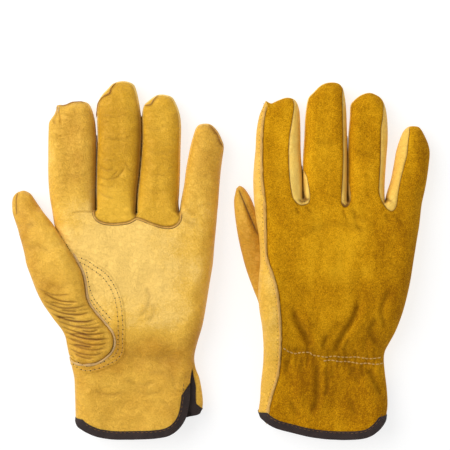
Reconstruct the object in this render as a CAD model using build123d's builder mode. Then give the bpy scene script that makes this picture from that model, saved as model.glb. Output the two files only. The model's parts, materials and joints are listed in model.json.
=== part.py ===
"""A pair of slip-on leather work gloves, lying side by side on a flat surface.

The left glove lies on its back with the palm up, the right glove lies on its palm with the back
up, and the hand of the right glove rests on its own thumb. Each glove is sewn from a grain
leather palm, a split suede back, separate fronts for the middle and ring fingers, fourchettes
(the side walls of the fingers), a set-in thumb with a reinforcing patch, an elastic strip inside
the back of the wrist and a cuff bound with tape. Every finger is cut at its knuckle line, where
it hinges on the palm-side skin; the thumb is cut and hinged at its own joint.

Frame: X across the pair, Y from cuff to fingertips, Z up, origin on the surface below the
middle of the pair's bounding box. Millimetres and degrees.
"""

from build123d import *
from collections import namedtuple
from math import atan2, cos, degrees, radians, sin, tan
import os

# ---- Materials -----------------------------------------------------------------------------
LEATHER = 1.4  # thickness of every leather and suede panel
TAPE = 0.8  # thickness of the binding tape
TAPE_WIDTH = 7.3  # width of the binding seen on each face
ELASTIC = 0.8  # thickness of the wrist elastic
PATCH = 0.9  # thickness of the thumb reinforcement patch
FLATTENED = 0.3  # how far the weight of the leather presses a skin flat on the surface

# ---- Layout --------------------------------------------------------------------------------
KNUCKLE_Y = 46.0  # the line where the fingers hinge
CROTCH_Y = 38.0  # the bottom of the gaps between the fingers
CUFF_END_Y = -131.0  # the hand tube runs to here, and the cuff edge is cut from it
HINGE_GAP = 0.3  # between a finger's base and the hand
THUMB_GAP = 0.8  # between the moving end of the thumb and the hand
KNUCKLE_THICKNESS = 22.0
THUMB_LAID_UNDER = 9.0  # the highest the right thumb's end reaches, under the hand
HAND_CLEARANCE = 3.5  # the left thumb's end is cut where it is less than this above the palm
EDGE_RADIUS = 9.0  # of a tube's long edges
EDGE_SHARE = 0.42  # the same radius as a share of a thin section's thickness, at most
LEAST_RADIUS = 0.6
WALL_START = 0.24  # half height of a finger's side walls at its base, as a share of its thickness
WRAP = 6.0  # how far the palm leather wraps round onto the back of the index finger
ELASTIC_Y = (-72.0, -62.0)  # the strip inside the wrist
PALM_CORNER = 16.0  # how far the cuff's edge is rounded away at the slit, on the palm
BACK_CORNER = 4.0  # and on the back
OPEN_END = 3.0  # how far a hollow runs past an open end, so that it cuts right through
BELT = 20.0  # how far a half of the space reaches past a tube's edges
FAR = 60.0  # a distance well outside a finger or a hand's thickness
BELOW = -20.0  # a height well below the surface
LEAST_PIECE = 15.0  # in cubic mm: a cut-off crumb smaller than this is dropped
# The middle of the pair's outline in this layout. Every node is saved with it at the origin.
PAIR_MIDDLE = (1.34, -0.90)

# A finger leans outwards by `lean` degrees from +Y; `x` is its middle on the knuckle line.
Finger = namedtuple("Finger", "name x width length lean slim")
FINGERS = [
    Finger("index", -47.5, 33.0, 69.0, 2.5, 1.00),
    Finger("middle", -14.3, 29.5, 81.5, 1.9, 1.00),
    Finger("ring", 15.1, 27.5, 73.0, 2.3, 0.98),
    Finger("little", 43.8, 26.5, 51.5, 7.7, 0.90),
]
# Along a finger: share of its length, share of its width and share of the knuckle thickness.
FINGER_PROFILE = [
    (0.0, 1.0, 1.0),
    (0.4, 1.0, 0.95),
    (0.74, 0.95, 0.86),
    (0.91, 0.76, 0.64),
    (1.0, 0.44, 0.36),
]

# One cross-section of a hand. `tilt` is how far its index side is lifted, in degrees.
Section = namedtuple("Section", "y x width thickness tilt")
Thumb = namedtuple("Thumb", "root tip hinge_at thickness heights")
Glove = namedtuple("Glove", "name x palm_up sections cuff slit_top thumb seam")

# Along a thumb: share of its length, width in mm, and share of the thumb's thickness.
THUMB_PROFILE = [
    (0.0, 22.0, 0.45),
    (0.15, 33.0, 1.0),
    (0.45, 31.5, 1.0),
    (0.68, 27.0, 0.92),
    (0.88, 21.0, 0.72),
    (1.0, 10.0, 0.38),
]

LEFT = Glove(
    name="left",
    x=-60.3,
    palm_up=1,
    sections=[
        Section(CUFF_END_Y, -2.0, 84.0, 24.0, 0.0),
        Section(-72.0, -3.6, 87.0, 23.0, 0.0),
        Section(-42.0, -2.0, 97.0, 26.0, 0.0),
        Section(-5.0, 0.0, 108.0, 26.0, 0.0),
        Section(KNUCKLE_Y, -3.2, 122.0, KNUCKLE_THICKNESS, 0.0),
    ],
    cuff=[(-50.0, -108.0), (-12.0, -127.0), (40.0, -112.0)],
    slit_top=(42.0, -86.0),
    thumb=Thumb(
        root=(-32.0, -62.0),
        tip=(-82.0, 48.0),
        hinge_at=0.68,
        thickness=22.0,
        heights=[21.0, 20.0, 17.0, 13.0, 10.5, 8.0],
    ),
    seam=[(-55.0, 60.0), (-52.0, 10.0), (-42.0, -40.0), (-40.0, -75.0), (-38.0, -140.0)],
)

RIGHT = Glove(
    name="right",
    x=89.4,
    palm_up=-1,
    sections=[
        Section(CUFF_END_Y, -16.8, 91.0, 24.0, 0.0),
        Section(-72.0, -18.0, 90.0, 23.0, 3.0),
        Section(-42.0, -12.5, 101.0, 26.0, 7.0),
        Section(-5.0, -8.5, 111.0, 26.0, 8.0),
        Section(KNUCKLE_Y, -4.8, 122.0, KNUCKLE_THICKNESS, 5.0),
    ],
    cuff=[(-66.0, -106.0), (-8.0, -127.0), (30.0, -112.0)],
    slit_top=(33.0, -86.0),
    thumb=Thumb(
        root=(-39.0, -62.0),
        tip=(-76.0, 52.0),
        hinge_at=0.68,
        thickness=16.0,
        heights=[9.0, 8.6, 8.0, 7.2, 5.6, 4.0],
    ),
    seam=[(-58.0, 60.0), (-56.0, 10.0), (-48.0, -30.0), (-46.5, -70.0), (-54.5, -140.0)],
)


# ---- Frame helpers -------------------------------------------------------------------------
def section_plane(x, y, z, lean=0.0, tilt=0.0):
    """The plane of a cross-section: its normal leans from +Y towards +X, and its width direction
    drops towards +X by the tilt."""
    a, t = radians(lean), radians(tilt)
    along = (sin(a), cos(a), 0)
    across = (cos(a) * cos(t), -sin(a) * cos(t), -sin(t))
    return Plane(origin=(x, y, z), x_dir=across, z_dir=along)


def hand_height(section):
    """The height of a hand section's middle: its little-finger edge lies on the surface."""
    return section.thickness / 2 + section.width / 2 * sin(radians(section.tilt)) - FLATTENED


def hand_sections(glove):
    """The glove's cross-sections as (plane, width, thickness); the cuff is up by its binding."""
    placed = []
    for section in glove.sections:
        lift = TAPE + FLATTENED if section.y == CUFF_END_Y else 0.0
        plane = section_plane(
            glove.x + section.x, section.y, hand_height(section) + lift, 0.0, section.tilt
        )
        placed.append((plane, section.width, section.thickness))
    return placed


def finger_base(glove, finger):
    """The middle of a finger's base on the knuckle line, and the knuckle's tilt."""
    knuckle = glove.sections[-1]
    drop = (finger.x - knuckle.x) * tan(radians(knuckle.tilt))
    return Vector(glove.x + finger.x, KNUCKLE_Y, hand_height(knuckle) - drop), knuckle.tilt


def finger_sections(glove, finger):
    """A finger's cross-sections, from the knuckle line to a tip that lies on the surface."""
    base, tilt = finger_base(glove, finger)
    placed = []
    for share, width, thickness in FINGER_PROFILE:
        thick = KNUCKLE_THICKNESS * thickness
        at = share * finger.length
        down = thick / 2 - FLATTENED
        height = base.Z + (down - base.Z) * min(1.0, share / 0.4)
        slim = 1.0 - (1.0 - finger.slim) * min(1.0, share / 0.74)
        lean = finger.lean if share else 0.0
        plane = section_plane(
            base.X + at * sin(radians(finger.lean)),
            base.Y + at * cos(radians(finger.lean)),
            height,
            lean,
            tilt * (1.0 - min(1.0, share / 0.4)),
        )
        placed.append((plane, finger.width * width * slim, thick))
    return placed


def thumb_lean(thumb):
    """How far the thumb leans from +Y, in degrees, towards the index side."""
    return degrees(atan2(thumb.tip[0] - thumb.root[0], thumb.tip[1] - thumb.root[1]))


def thumb_point(glove, share):
    """The point on the thumb's middle line at a share of its length, with its height."""
    thumb = glove.thumb
    shares = [row[0] for row in THUMB_PROFILE]
    upper = next(i for i in range(1, len(shares)) if share <= shares[i])
    part = (share - shares[upper - 1]) / (shares[upper] - shares[upper - 1])
    low, high = thumb.heights[upper - 1], thumb.heights[upper]
    return Vector(
        glove.x + thumb.root[0] + share * (thumb.tip[0] - thumb.root[0]),
        thumb.root[1] + share * (thumb.tip[1] - thumb.root[1]),
        low + part * (high - low),
    )


def thumb_sections(glove):
    """The thumb's cross-sections, from inside the hand to its tip."""
    lean = thumb_lean(glove.thumb)
    placed = []
    for share, width, thickness in THUMB_PROFILE:
        point = thumb_point(glove, share)
        plane = section_plane(point.X, point.Y, point.Z, lean)
        placed.append((plane, width, thickness * glove.thumb.thickness))
    return placed


# ---- Solids --------------------------------------------------------------------------------
def tube(sections, inset=0.0, closed_tip=False, open_by=0.0):
    """A solid lofted through rounded rectangles. A positive inset gives the hollow inside it. A
    closed tip is pulled back by the inset, and open ends run on by open_by."""
    last = len(sections) - 1
    with BuildPart() as lofted:
        for i, (plane, width, thickness) in enumerate(sections):
            shift = 0.0
            if i == 0:
                shift = -open_by
            elif i == last:
                shift = -inset if closed_tip else open_by
            w, t = width - 2 * inset, thickness - 2 * inset
            radius = min(EDGE_RADIUS, EDGE_SHARE * thickness) - inset
            with BuildSketch(plane.offset(shift)):
                RectangleRounded(w, t, max(LEAST_RADIUS, min(radius, 0.49 * t)))
        loft(ruled=True)
    return lofted.part


def half_region(sections, side):
    """The space on one side of a tube's middle surface: side 1 is above it and -1 below."""
    last = len(sections) - 1
    beyond, outside = 4.0, 6.0
    with BuildPart() as half:
        for i, (plane, width, thickness) in enumerate(sections):
            shift = -beyond if i == 0 else beyond if i == last else 0.0
            depth = thickness / 2 + outside
            with BuildSketch(plane.offset(shift)):
                # The plane's own y axis points down, so the upper half is at negative y.
                with Locations((0, -side * depth / 2)):
                    Rectangle(width + 2 * BELT, depth)
        loft(ruled=True)
    return half.part


def above_surface(shape):
    """The shape with everything below the surface cut off, which leaves it a flat foot."""
    box = shape.bounding_box()
    with BuildPart() as kept:
        add(shape)
        with Locations((box.center().X, box.center().Y, -FAR / 2)):
            Box(box.size.X + 20, box.size.Y + 20, FAR, mode=Mode.SUBTRACT)
    return kept.part


def combined(first, cut=(), keep=None, join=()):
    """first, joined with some shapes, cut by others, and kept only inside one."""
    with BuildPart() as made:
        add(first)
        for other in join:
            add(other)
        if keep is not None:
            add(keep, mode=Mode.INTERSECT)
        for other in cut:
            add(other, mode=Mode.SUBTRACT)
    return made.part


def solid_pieces(shape):
    """The shape without the loose crumbs that a cut can leave."""
    kept = [solid for solid in shape.solids() if solid.volume > LEAST_PIECE]
    return kept[0] if len(kept) == 1 else Compound(children=kept)


def upright_prism(points, low=BELOW, high=FAR):
    """The space above and below an outline in the XY plane."""
    with BuildPart() as prism:
        with BuildSketch(Plane.XY.offset(low)):
            with BuildLine():
                Polyline(*points, close=True)
            make_face()
        extrude(amount=high - low)
    return prism.part


def save(shape, name):
    """Writes one named node, moved so that the pair's middle is at the origin."""
    placed = solid_pieces(shape).moved(Location((-PAIR_MIDDLE[0], -PAIR_MIDDLE[1], 0)))
    placed.label = name
    export_step(placed, f"parts/{name}.step")


# ---- Fingers -------------------------------------------------------------------------------
def wedge(glove, finger, edge):
    """The space on the palm side (edge 1) or back side (edge -1) of a finger's side walls. Its
    bounding plane runs from part of the way up the base to the middle of the tip."""
    base, _ = finger_base(glove, finger)
    tip_height = FINGER_PROFILE[-1][2] * KNUCKLE_THICKNESS / 2
    up = edge * glove.palm_up
    start = base.Z + up * WALL_START * KNUCKLE_THICKNESS
    length = finger.length + 12.0
    side_plane = Plane(origin=(base.X, base.Y, 0), x_dir=(0, 1, 0), z_dir=(1, 0, 0))
    with BuildPart() as region:
        with BuildSketch(side_plane):
            with BuildLine():
                Polyline(
                    (-5.0, start),
                    (length, tip_height),
                    (length, up * FAR),
                    (-5.0, up * FAR),
                    close=True,
                )
            make_face()
        extrude(amount=FAR, both=True)
    return region.part


def beside(glove, finger, side, offset=0.0):
    """The space on one side (-1 towards the index) of a finger's middle line."""
    base, _ = finger_base(glove, finger)
    lean = radians(finger.lean)
    along = (sin(lean), cos(lean))
    behind, reach = 6.0, finger.length + 20.0
    x, y = base.X + side * offset, base.Y
    near = (x - behind * along[0], y - behind * along[1])
    far = (x + reach * along[0], y + reach * along[1])
    return upright_prism(
        [near, far, (far[0] + side * FAR, far[1]), (near[0] + side * FAR, near[1])]
    )


def build_finger(glove, finger):
    """A finger's panels: front, back and the fourchettes on the sides that face a neighbour."""
    sections = finger_sections(glove, finger)
    hollow = tube(sections, LEATHER, closed_tip=True)
    before_hinge = upright_prism(
        [
            (glove.x - 2 * FAR, KNUCKLE_Y - BELT),
            (glove.x + 2 * FAR, KNUCKLE_Y - BELT),
            (glove.x + 2 * FAR, KNUCKLE_Y + HINGE_GAP),
            (glove.x - 2 * FAR, KNUCKLE_Y + HINGE_GAP),
        ]
    )
    shell = above_surface(combined(tube(sections), cut=[hollow, before_hinge]))
    name = f"{glove.name}_{finger.name}"
    palm_side, back_side = wedge(glove, finger, 1), wedge(glove, finger, -1)
    index_side, little_side = beside(glove, finger, -1), beside(glove, finger, 1)
    walls = combined(shell, cut=[palm_side, back_side])
    front = combined(shell, keep=palm_side)
    back = combined(shell, keep=back_side)
    if finger.name == "index":
        # The palm leather wraps round the index side to a seam on the back.
        seam = beside(glove, finger, -1, finger.width / 2 - WRAP)
        wrap = combined(walls, keep=index_side)
        strip = combined(back, keep=seam)
        front = combined(front, join=[wrap, strip])
        back = combined(back, cut=[seam])
        save(combined(walls, keep=little_side), f"{name}_fourchette")
    elif finger.name == "little":
        front = combined(front, join=[combined(walls, keep=little_side)])
        save(combined(walls, keep=index_side), f"{name}_fourchette")
    else:
        save(combined(walls, keep=index_side), f"{name}_fourchette_inner")
        save(combined(walls, keep=little_side), f"{name}_fourchette_outer")
    save(front, f"{name}_front")
    save(back, f"{name}_back")


# ---- Thumb ---------------------------------------------------------------------------------
def thumb_end_region(glove, gap=0.0):
    """The space beyond the thumb's hinge, towards its tip."""
    lean = radians(thumb_lean(glove.thumb))
    hinge = thumb_point(glove, glove.thumb.hinge_at)
    along, across = (sin(lean), cos(lean)), (cos(lean), -sin(lean))
    x, y = hinge.X + gap * along[0], hinge.Y + gap * along[1]
    corners = []
    for reach, side in ((0, -FAR), (80.0, -FAR), (80.0, FAR), (0, FAR)):
        corners.append(
            (x + reach * along[0] + side * across[0], y + reach * along[1] + side * across[1])
        )
    return upright_prism(corners)


def hand_space(glove):
    """The space round the hand that the moving end of the thumb is cut back from."""
    margin = THUMB_GAP
    left = [(glove.x + s.x - s.width / 2 - margin, s.y) for s in glove.sections]
    right = [(glove.x + s.x + s.width / 2 + margin, s.y) for s in reversed(glove.sections)]
    beyond = KNUCKLE_Y + FAR
    outline = left + [(left[-1][0], beyond), (right[0][0], beyond)] + right
    if glove.palm_up > 0:
        return upright_prism(outline, BELOW, KNUCKLE_THICKNESS - FLATTENED + HAND_CLEARANCE)
    return upright_prism(outline, THUMB_LAID_UNDER, FAR)


def build_thumb(glove, hand_inner):
    """The thumb's four panels. Returns the thumb's outer solid, which the palm is cut by."""
    sections = thumb_sections(glove)
    outer = tube(sections)
    shell = above_surface(combined(outer, cut=[tube(sections, LEATHER, closed_tip=True)]))
    palm_half = half_region(sections, glove.palm_up)
    root = combined(shell, cut=[thumb_end_region(glove), hand_inner])
    end = combined(shell, keep=thumb_end_region(glove, HINGE_GAP), cut=[hand_space(glove)])
    name = f"{glove.name}_thumb"
    save(combined(root, keep=palm_half), f"{name}_root_front")
    save(combined(root, cut=[palm_half]), f"{name}_root_back")
    save(combined(end, keep=palm_half), f"{name}_front")
    save(combined(end, cut=[palm_half]), f"{name}_back")
    return outer


# ---- Hand ----------------------------------------------------------------------------------
def cuff_points(glove, palm_side):
    """The cuff's edge from the index side to the top of the slit. The palm's corner is rounded
    away further than the back's, which leaves the slit open."""
    start, low, end = glove.cuff
    slit = glove.slit_top
    corner = PALM_CORNER if palm_side else BACK_CORNER
    return [
        (glove.x + start[0] - 6.0, start[1] + 4.0),
        (glove.x + start[0] + 8.0, start[1] - 9.0),
        (glove.x + low[0] - 14.0, low[1] + 1.0),
        (glove.x + low[0] + 14.0, low[1] + 0.5),
        (glove.x + end[0] - corner, end[1] - 12.0 + corner / 4),
        (glove.x + end[0] - corner / 3, end[1] + corner / 2),
        (glove.x + slit[0] + 8.0, slit[1]),
    ]


def below_cuff(glove, palm_side):
    """The space outside the cuff's edge."""
    with BuildPart() as outside:
        with BuildSketch(Plane.XY.offset(BELOW)):
            with BuildLine():
                edge = Spline(*cuff_points(glove, palm_side))
                Polyline(
                    edge @ 1,
                    (glove.x + 2 * FAR, glove.slit_top[1]),
                    (glove.x + 2 * FAR, CUFF_END_Y - BELT),
                    (glove.x - 2 * FAR, CUFF_END_Y - BELT),
                    (glove.x - 2 * FAR, (edge @ 0).Y),
                    edge @ 0,
                )
            make_face()
        extrude(amount=FAR - BELOW)
    return outside.part


def along_cuff(glove, palm_side, width):
    """An upright band of a width, centred on the cuff's edge."""
    with BuildPart() as band:
        with BuildSketch(Plane.XY.offset(BELOW)):
            with BuildLine():
                Spline(*cuff_points(glove, palm_side))
            trace(line_width=width)
        extrude(amount=FAR - BELOW)
    return band.part


def cuff_band(glove, palm_side):
    """The upright band that the binding fills: over the panels, and its own thickness beyond."""
    over = along_cuff(glove, palm_side, 2 * (TAPE_WIDTH - TAPE))
    inside = combined(over, cut=[below_cuff(glove, palm_side)])
    return combined(inside, join=[along_cuff(glove, palm_side, 2 * TAPE)])


def patch_outline(glove):
    """The crescent that reinforces the palm beside the thumb."""
    thumb = glove.thumb
    points = [(-43.0, 3.0), (-33.0, -3.0), (-23.0, -14.0), (-15.0, -32.0), (-12.5, -50.0)]
    points += [(-14.0, -66.0), (-24.0, -80.0), (-37.0, -83.0)]
    inner = [(-37.0, -74.0), (-25.0, -68.0), (-18.0, -54.0), (-28.0, -34.0), (-40.0, -12.0)]
    shift = glove.x + thumb.root[0] + 32.0
    return [(x + shift, y) for x, y in points + inner]


def build_hand(glove):
    """The palm, the back and everything sewn to them below the knuckle line."""
    sections = hand_sections(glove)
    outer = tube(sections)
    inner = tube(sections, LEATHER, open_by=OPEN_END)
    thumb = build_thumb(glove, inner)
    shell = above_surface(combined(outer, cut=[inner]))
    back_half = half_region(sections, -glove.palm_up)
    seam = [(glove.x + x, y) for x, y in glove.seam]
    beyond = glove.x + 2 * FAR
    back_zone = upright_prism(seam + [(beyond, seam[-1][1]), (beyond, seam[0][1])])
    back_space = combined(back_half, keep=back_zone)
    cut_palm = combined(below_cuff(glove, True), cut=[back_half])
    cut_back = combined(below_cuff(glove, False), keep=back_half)
    back = combined(shell, keep=back_space, cut=[cut_back, thumb])
    palm = combined(shell, cut=[back_space, thumb, cut_palm, cut_back])
    save(palm, f"{glove.name}_palm")
    save(back, f"{glove.name}_back")

    # Binding: a folded tape that wraps the cuff's edge inside and out.
    hollow = tube(sections, LEATHER + TAPE, open_by=OPEN_END)
    sleeve = combined(tube(sections, -TAPE), cut=[hollow])
    palm_band = combined(cuff_band(glove, True), cut=[back_half])
    back_band = combined(cuff_band(glove, False), keep=back_half)
    leather = combined(shell, cut=[cut_palm, cut_back])
    tape = combined(sleeve, keep=combined(palm_band, join=[back_band]), cut=[leather])
    save(above_surface(tape), f"{glove.name}_hem_binding")

    # Elastic: a strip sewn inside the back of the wrist.
    lining = combined(inner, cut=[tube(sections, LEATHER + ELASTIC, open_by=OPEN_END)])
    low, high = ELASTIC_Y
    first, last = seam[3][0] + 1.0, glove.x + glove.slit_top[0] + 12.0
    strip = upright_prism([(first, low), (first, high), (last, high), (last, low)])
    elastic = combined(lining, keep=combined(strip, keep=back_half), cut=[thumb])
    save(elastic, f"{glove.name}_wrist_elastic")

    # Patch: a crescent sewn on the palm beside the thumb.
    skin = combined(tube(sections, -PATCH), cut=[outer, thumb, back_half])
    patch = combined(skin, keep=upright_prism(patch_outline(glove)))
    save(patch, f"{glove.name}_thumb_patch")

    # The forks of the fourchettes close the gaps at the foot of the fingers.
    for left, right in zip(FINGERS, FINGERS[1:]):
        x = glove.x + (left.x + left.width / 2 + right.x - right.width / 2) / 2
        fork = upright_prism(
            [
                (x - LEATHER, CROTCH_Y),
                (x + LEATHER, CROTCH_Y),
                (x + LEATHER, KNUCKLE_Y),
                (x - LEATHER, KNUCKLE_Y),
            ]
        )
        fork = combined(fork, keep=inner)
        save(fork, f"{glove.name}_{left.name}_{right.name}_fork")


def main():
    os.makedirs("parts", exist_ok=True)
    for glove in (LEFT, RIGHT):
        build_hand(glove)
        for finger in FINGERS:
            build_finger(glove, finger)


main()
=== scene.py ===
"""A pair of leather work gloves: the left one palm up, the right one back up on its own thumb.

Each glove is a skin over its outline as it lies: every point of the outline is a fold between an
upper and a lower sheet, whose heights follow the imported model. The skin is cut along its real
seams into panels, and each panel is given the leather's thickness. Lengths here are in mm, in each
glove's own frame, whose origin comes from the model's joints; they become metres in the meshes.
"""

import json
import math

import bpy
import numpy as np
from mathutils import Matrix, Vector
from mathutils.geometry import delaunay_2d_cdt


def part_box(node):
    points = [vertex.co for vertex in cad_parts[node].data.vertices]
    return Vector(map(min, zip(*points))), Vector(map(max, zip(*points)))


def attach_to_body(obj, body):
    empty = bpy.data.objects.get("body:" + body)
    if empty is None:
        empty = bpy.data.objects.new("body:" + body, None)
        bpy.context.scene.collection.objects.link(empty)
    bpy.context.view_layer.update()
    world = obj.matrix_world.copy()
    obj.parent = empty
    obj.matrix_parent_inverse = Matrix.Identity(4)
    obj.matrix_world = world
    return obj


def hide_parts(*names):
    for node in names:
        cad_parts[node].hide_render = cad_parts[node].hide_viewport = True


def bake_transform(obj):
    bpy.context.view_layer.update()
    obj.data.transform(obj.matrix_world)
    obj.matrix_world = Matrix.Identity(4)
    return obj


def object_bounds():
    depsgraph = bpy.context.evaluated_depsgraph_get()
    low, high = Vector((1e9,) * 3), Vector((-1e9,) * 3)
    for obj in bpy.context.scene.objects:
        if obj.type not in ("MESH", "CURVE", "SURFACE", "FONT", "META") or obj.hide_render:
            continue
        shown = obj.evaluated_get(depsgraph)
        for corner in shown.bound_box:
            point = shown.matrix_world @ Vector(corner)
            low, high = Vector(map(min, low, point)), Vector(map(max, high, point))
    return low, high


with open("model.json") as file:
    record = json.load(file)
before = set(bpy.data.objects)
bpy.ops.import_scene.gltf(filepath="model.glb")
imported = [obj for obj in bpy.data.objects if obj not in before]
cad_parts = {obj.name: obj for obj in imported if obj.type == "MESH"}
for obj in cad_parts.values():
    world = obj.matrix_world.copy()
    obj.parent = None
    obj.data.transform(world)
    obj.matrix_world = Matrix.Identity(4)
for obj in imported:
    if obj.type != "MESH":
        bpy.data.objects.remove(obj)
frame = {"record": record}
cad_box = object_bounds()
JOINTS = {j["name"]: j for j in frame["record"]["behaviour"]["joints"]}
RNG = np.random.default_rng(7)

LEATHER = 1.3
LEAST_GAP = 2.2 * LEATHER  # between the upper and the lower sheet, away from the edge
KNUCKLE_Y = 46.0
KNUCKLE_HALF = 11.0  # half the hand's thickness at the knuckles
MIDDLE_X = -14.3  # the middle finger's base in a glove's own frame
CUFF_END = -132  # below both cuffs
LENGTHS = {"index": 69.0, "middle": 81.5, "ring": 73.0, "little": 51.5}
FINGERS = list(LENGTHS)
EDGE_RADIUS = 13.0  # how far in from the folded edge the hand's skin is still rising
ROUNDNESS = 2.15  # the power of that rise; 2 would be a circle
# How far in from the edge the side walls' seams lie, above and below
UPPER_WALL, LOWER_WALL = {"left": 1.2, "right": 0.5}, 4.5
CROTCH_TIGHTER, CROTCH_REACH = 8.5, 11  # how much less the edge radius is at a crotch, and how far out
FORK_REACH = 9  # how far from a crotch the fork between two fingers goes
BINDING, TAPE_RISE, TAPE_THICKNESS = 6.0, 0.85, 0.7  # the tape's width, its rise over the skin and its own
ELASTIC_THICKNESS = 1.0
ROOT_END = 9.5  # how far before the thumb's hinge its own panel starts
THUMB_BEND = -8.5, 10.0  # the stretch across the thumb's hinge that bends
BEND_HEIGHT = 0.012  # of every joint's bend, in metres
OUTER_LOWEST, INNER_LOWEST = 0.05, 0.06  # how near the floor a panel's two faces come

SKIN_STEP, THUMB_STEP = 1.35, 1.15  # spacing of the surface points
# Rows of points beside an edge or a seam, and how far from it the even grid starts
EDGE_ROWS, EDGE_CLEAR = (0.12, 0.5, 1.9, 2.8, 6.2), 7.4
SEAM_ROWS, SEAM_CLEAR = (-1.5, -0.75, 0.75, 1.5), 2.0
FOLD_ROWS = -0.9, -0.45, 0.45, 0.9
ROW_CELL, FOLD_CELL = 0.55, 0.45  # no two of those rows' points share a square of this size
EDGE_STEP, ROW_STEP = 1.0, 0.6  # spacing along outlines and seams, and along rows of stitches
WELD = 2e-3  # points this near the outline are on it
SLOPE_REACH = 0.5  # over which the skin's slope is measured

FLOOR_SIZE, FLOOR_GLOW = 6, 0.72
WORLD, KEY, FILL = 0.46, 33.0, 2.5
LENS, CAMERA_HEIGHT = 134.5, 1.212
AIM = 0.0015, 0.0261  # the camera's place over the model's middle

# Which sides of each finger have a side wall: -1 faces -X and 1 faces +X
WALLED = {"index": (1,), "middle": (-1, 1), "ring": (-1, 1), "little": (-1,)}
FORKS = ("index_middle_fork", "middle_ring_fork", "ring_little_fork")


# ---- Curves and regions in the plane -------------------------------------------------------
def resample(points, step):
    """Points one even step apart along a line."""
    points = np.asarray(points, float)
    along = np.concatenate([[0], np.cumsum(np.linalg.norm(np.diff(points, axis=0), axis=1))])
    count = max(2, int(round(along[-1] / step)) + 1)
    at = np.linspace(0, along[-1], count)
    return np.stack([np.interp(at, along, points[:, k]) for k in range(points.shape[1])], 1)


def smooth(points, step=EDGE_STEP):
    """A smooth curve through the points, as points one step apart."""
    p = np.asarray(points, float)
    ends = np.vstack([2 * p[0] - p[1], p, 2 * p[-1] - p[-2]])
    t = np.linspace(0, 1, 14, endpoint=False)[:, None]
    runs = []
    for a, b, c, d in zip(ends, ends[1:], ends[2:], ends[3:]):
        bend, twist = 2 * a - 5 * b + 4 * c - d, 3 * b - a - 3 * c + d
        runs.append(0.5 * (2 * b + (c - a) * t + bend * t**2 + twist * t**3))
    return resample(np.vstack(runs + [p[-1:]]), step)


def distance(points, line):
    """Each point's distance to a line, and how far along the line the nearest place is, 0 to 1."""
    (ax, ay), (dx, dy) = line[:-1].T, (line[1:] - line[:-1]).T
    square = np.maximum(dx * dx + dy * dy, 1e-12)
    far, place = np.empty(len(points)), np.empty(len(points))
    for i in range(0, len(points), 500):
        x, y = points[i : i + 500, 0, None] - ax, points[i : i + 500, 1, None] - ay
        t = np.clip((x * dx + y * dy) / square, 0, 1)
        x -= t * dx
        y -= t * dy
        gap = x * x + y * y
        k = gap.argmin(1)
        rows = np.arange(len(k))
        far[i : i + 500] = np.sqrt(gap[rows, k])
        place[i : i + 500] = (k + t[rows, k]) / len(ax)
    return far, place


def inside(points, ring):
    """Which points lie inside a closed outline."""
    ring = np.asarray(ring, float)
    following = np.roll(ring, -1, 0)
    rising = following[:, 1] != ring[:, 1]
    (x0, y0), (x1, y1) = ring[rising].T, following[rising].T
    found = np.zeros(len(points), bool)
    for i in range(0, len(points), 2000):
        x, y = points[i : i + 2000, 0, None], points[i : i + 2000, 1, None]
        crossed = ((y0 > y) != (y1 > y)) & (x < (x1 - x0) * (y - y0) / (y1 - y0) + x0)
        found[i : i + 2000] = crossed.sum(1) % 2 == 1
    return found


def beside(line, offset):
    """The line moved sideways, positive to its right, without the points that come too near it."""
    d = np.gradient(line, axis=0)
    d /= np.maximum(np.linalg.norm(d, axis=1), 1e-9)[:, None]
    moved = line + offset * np.stack([d[:, 1], -d[:, 0]], 1)
    good = distance(moved, line)[0] > abs(offset) * 0.97
    runs, run = [], []
    for p, ok in zip(moved, good):
        if ok:
            run.append(p)
        elif run:
            runs.append(run)
            run = []
    runs.append(run)
    return [np.array(r) for r in runs if len(r) > 2]


def thinned(points, cell):
    """At most one point per square cell."""
    key = np.floor(points / cell).astype(int)
    _, first = np.unique(key[:, 0] * 100003 + key[:, 1], return_index=True)
    return points[np.sort(first)]


def ramp(x, low, high):
    """A soft step from 0 at the low value to 1 at the high one."""
    t = np.clip((x - low) / (high - low), 0, 1)
    return t * t * (3 - 2 * t)


def ripple(points, wavelength, seed, waves=14):
    """Smooth random unevenness of about unit size and one wavelength."""
    rng = np.random.default_rng(seed)
    turn = rng.uniform(0, 2 * math.pi, waves)
    phase = rng.uniform(0, 2 * math.pi, waves)
    size = 2 * math.pi / (wavelength * rng.uniform(0.7, 1.5, waves))
    total = np.zeros(len(points))
    for a, p, k in zip(turn, phase, size):
        total += np.sin(k * (points[:, 0] * math.cos(a) + points[:, 1] * math.sin(a)) + p)
    return total / math.sqrt(waves / 2)


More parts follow.
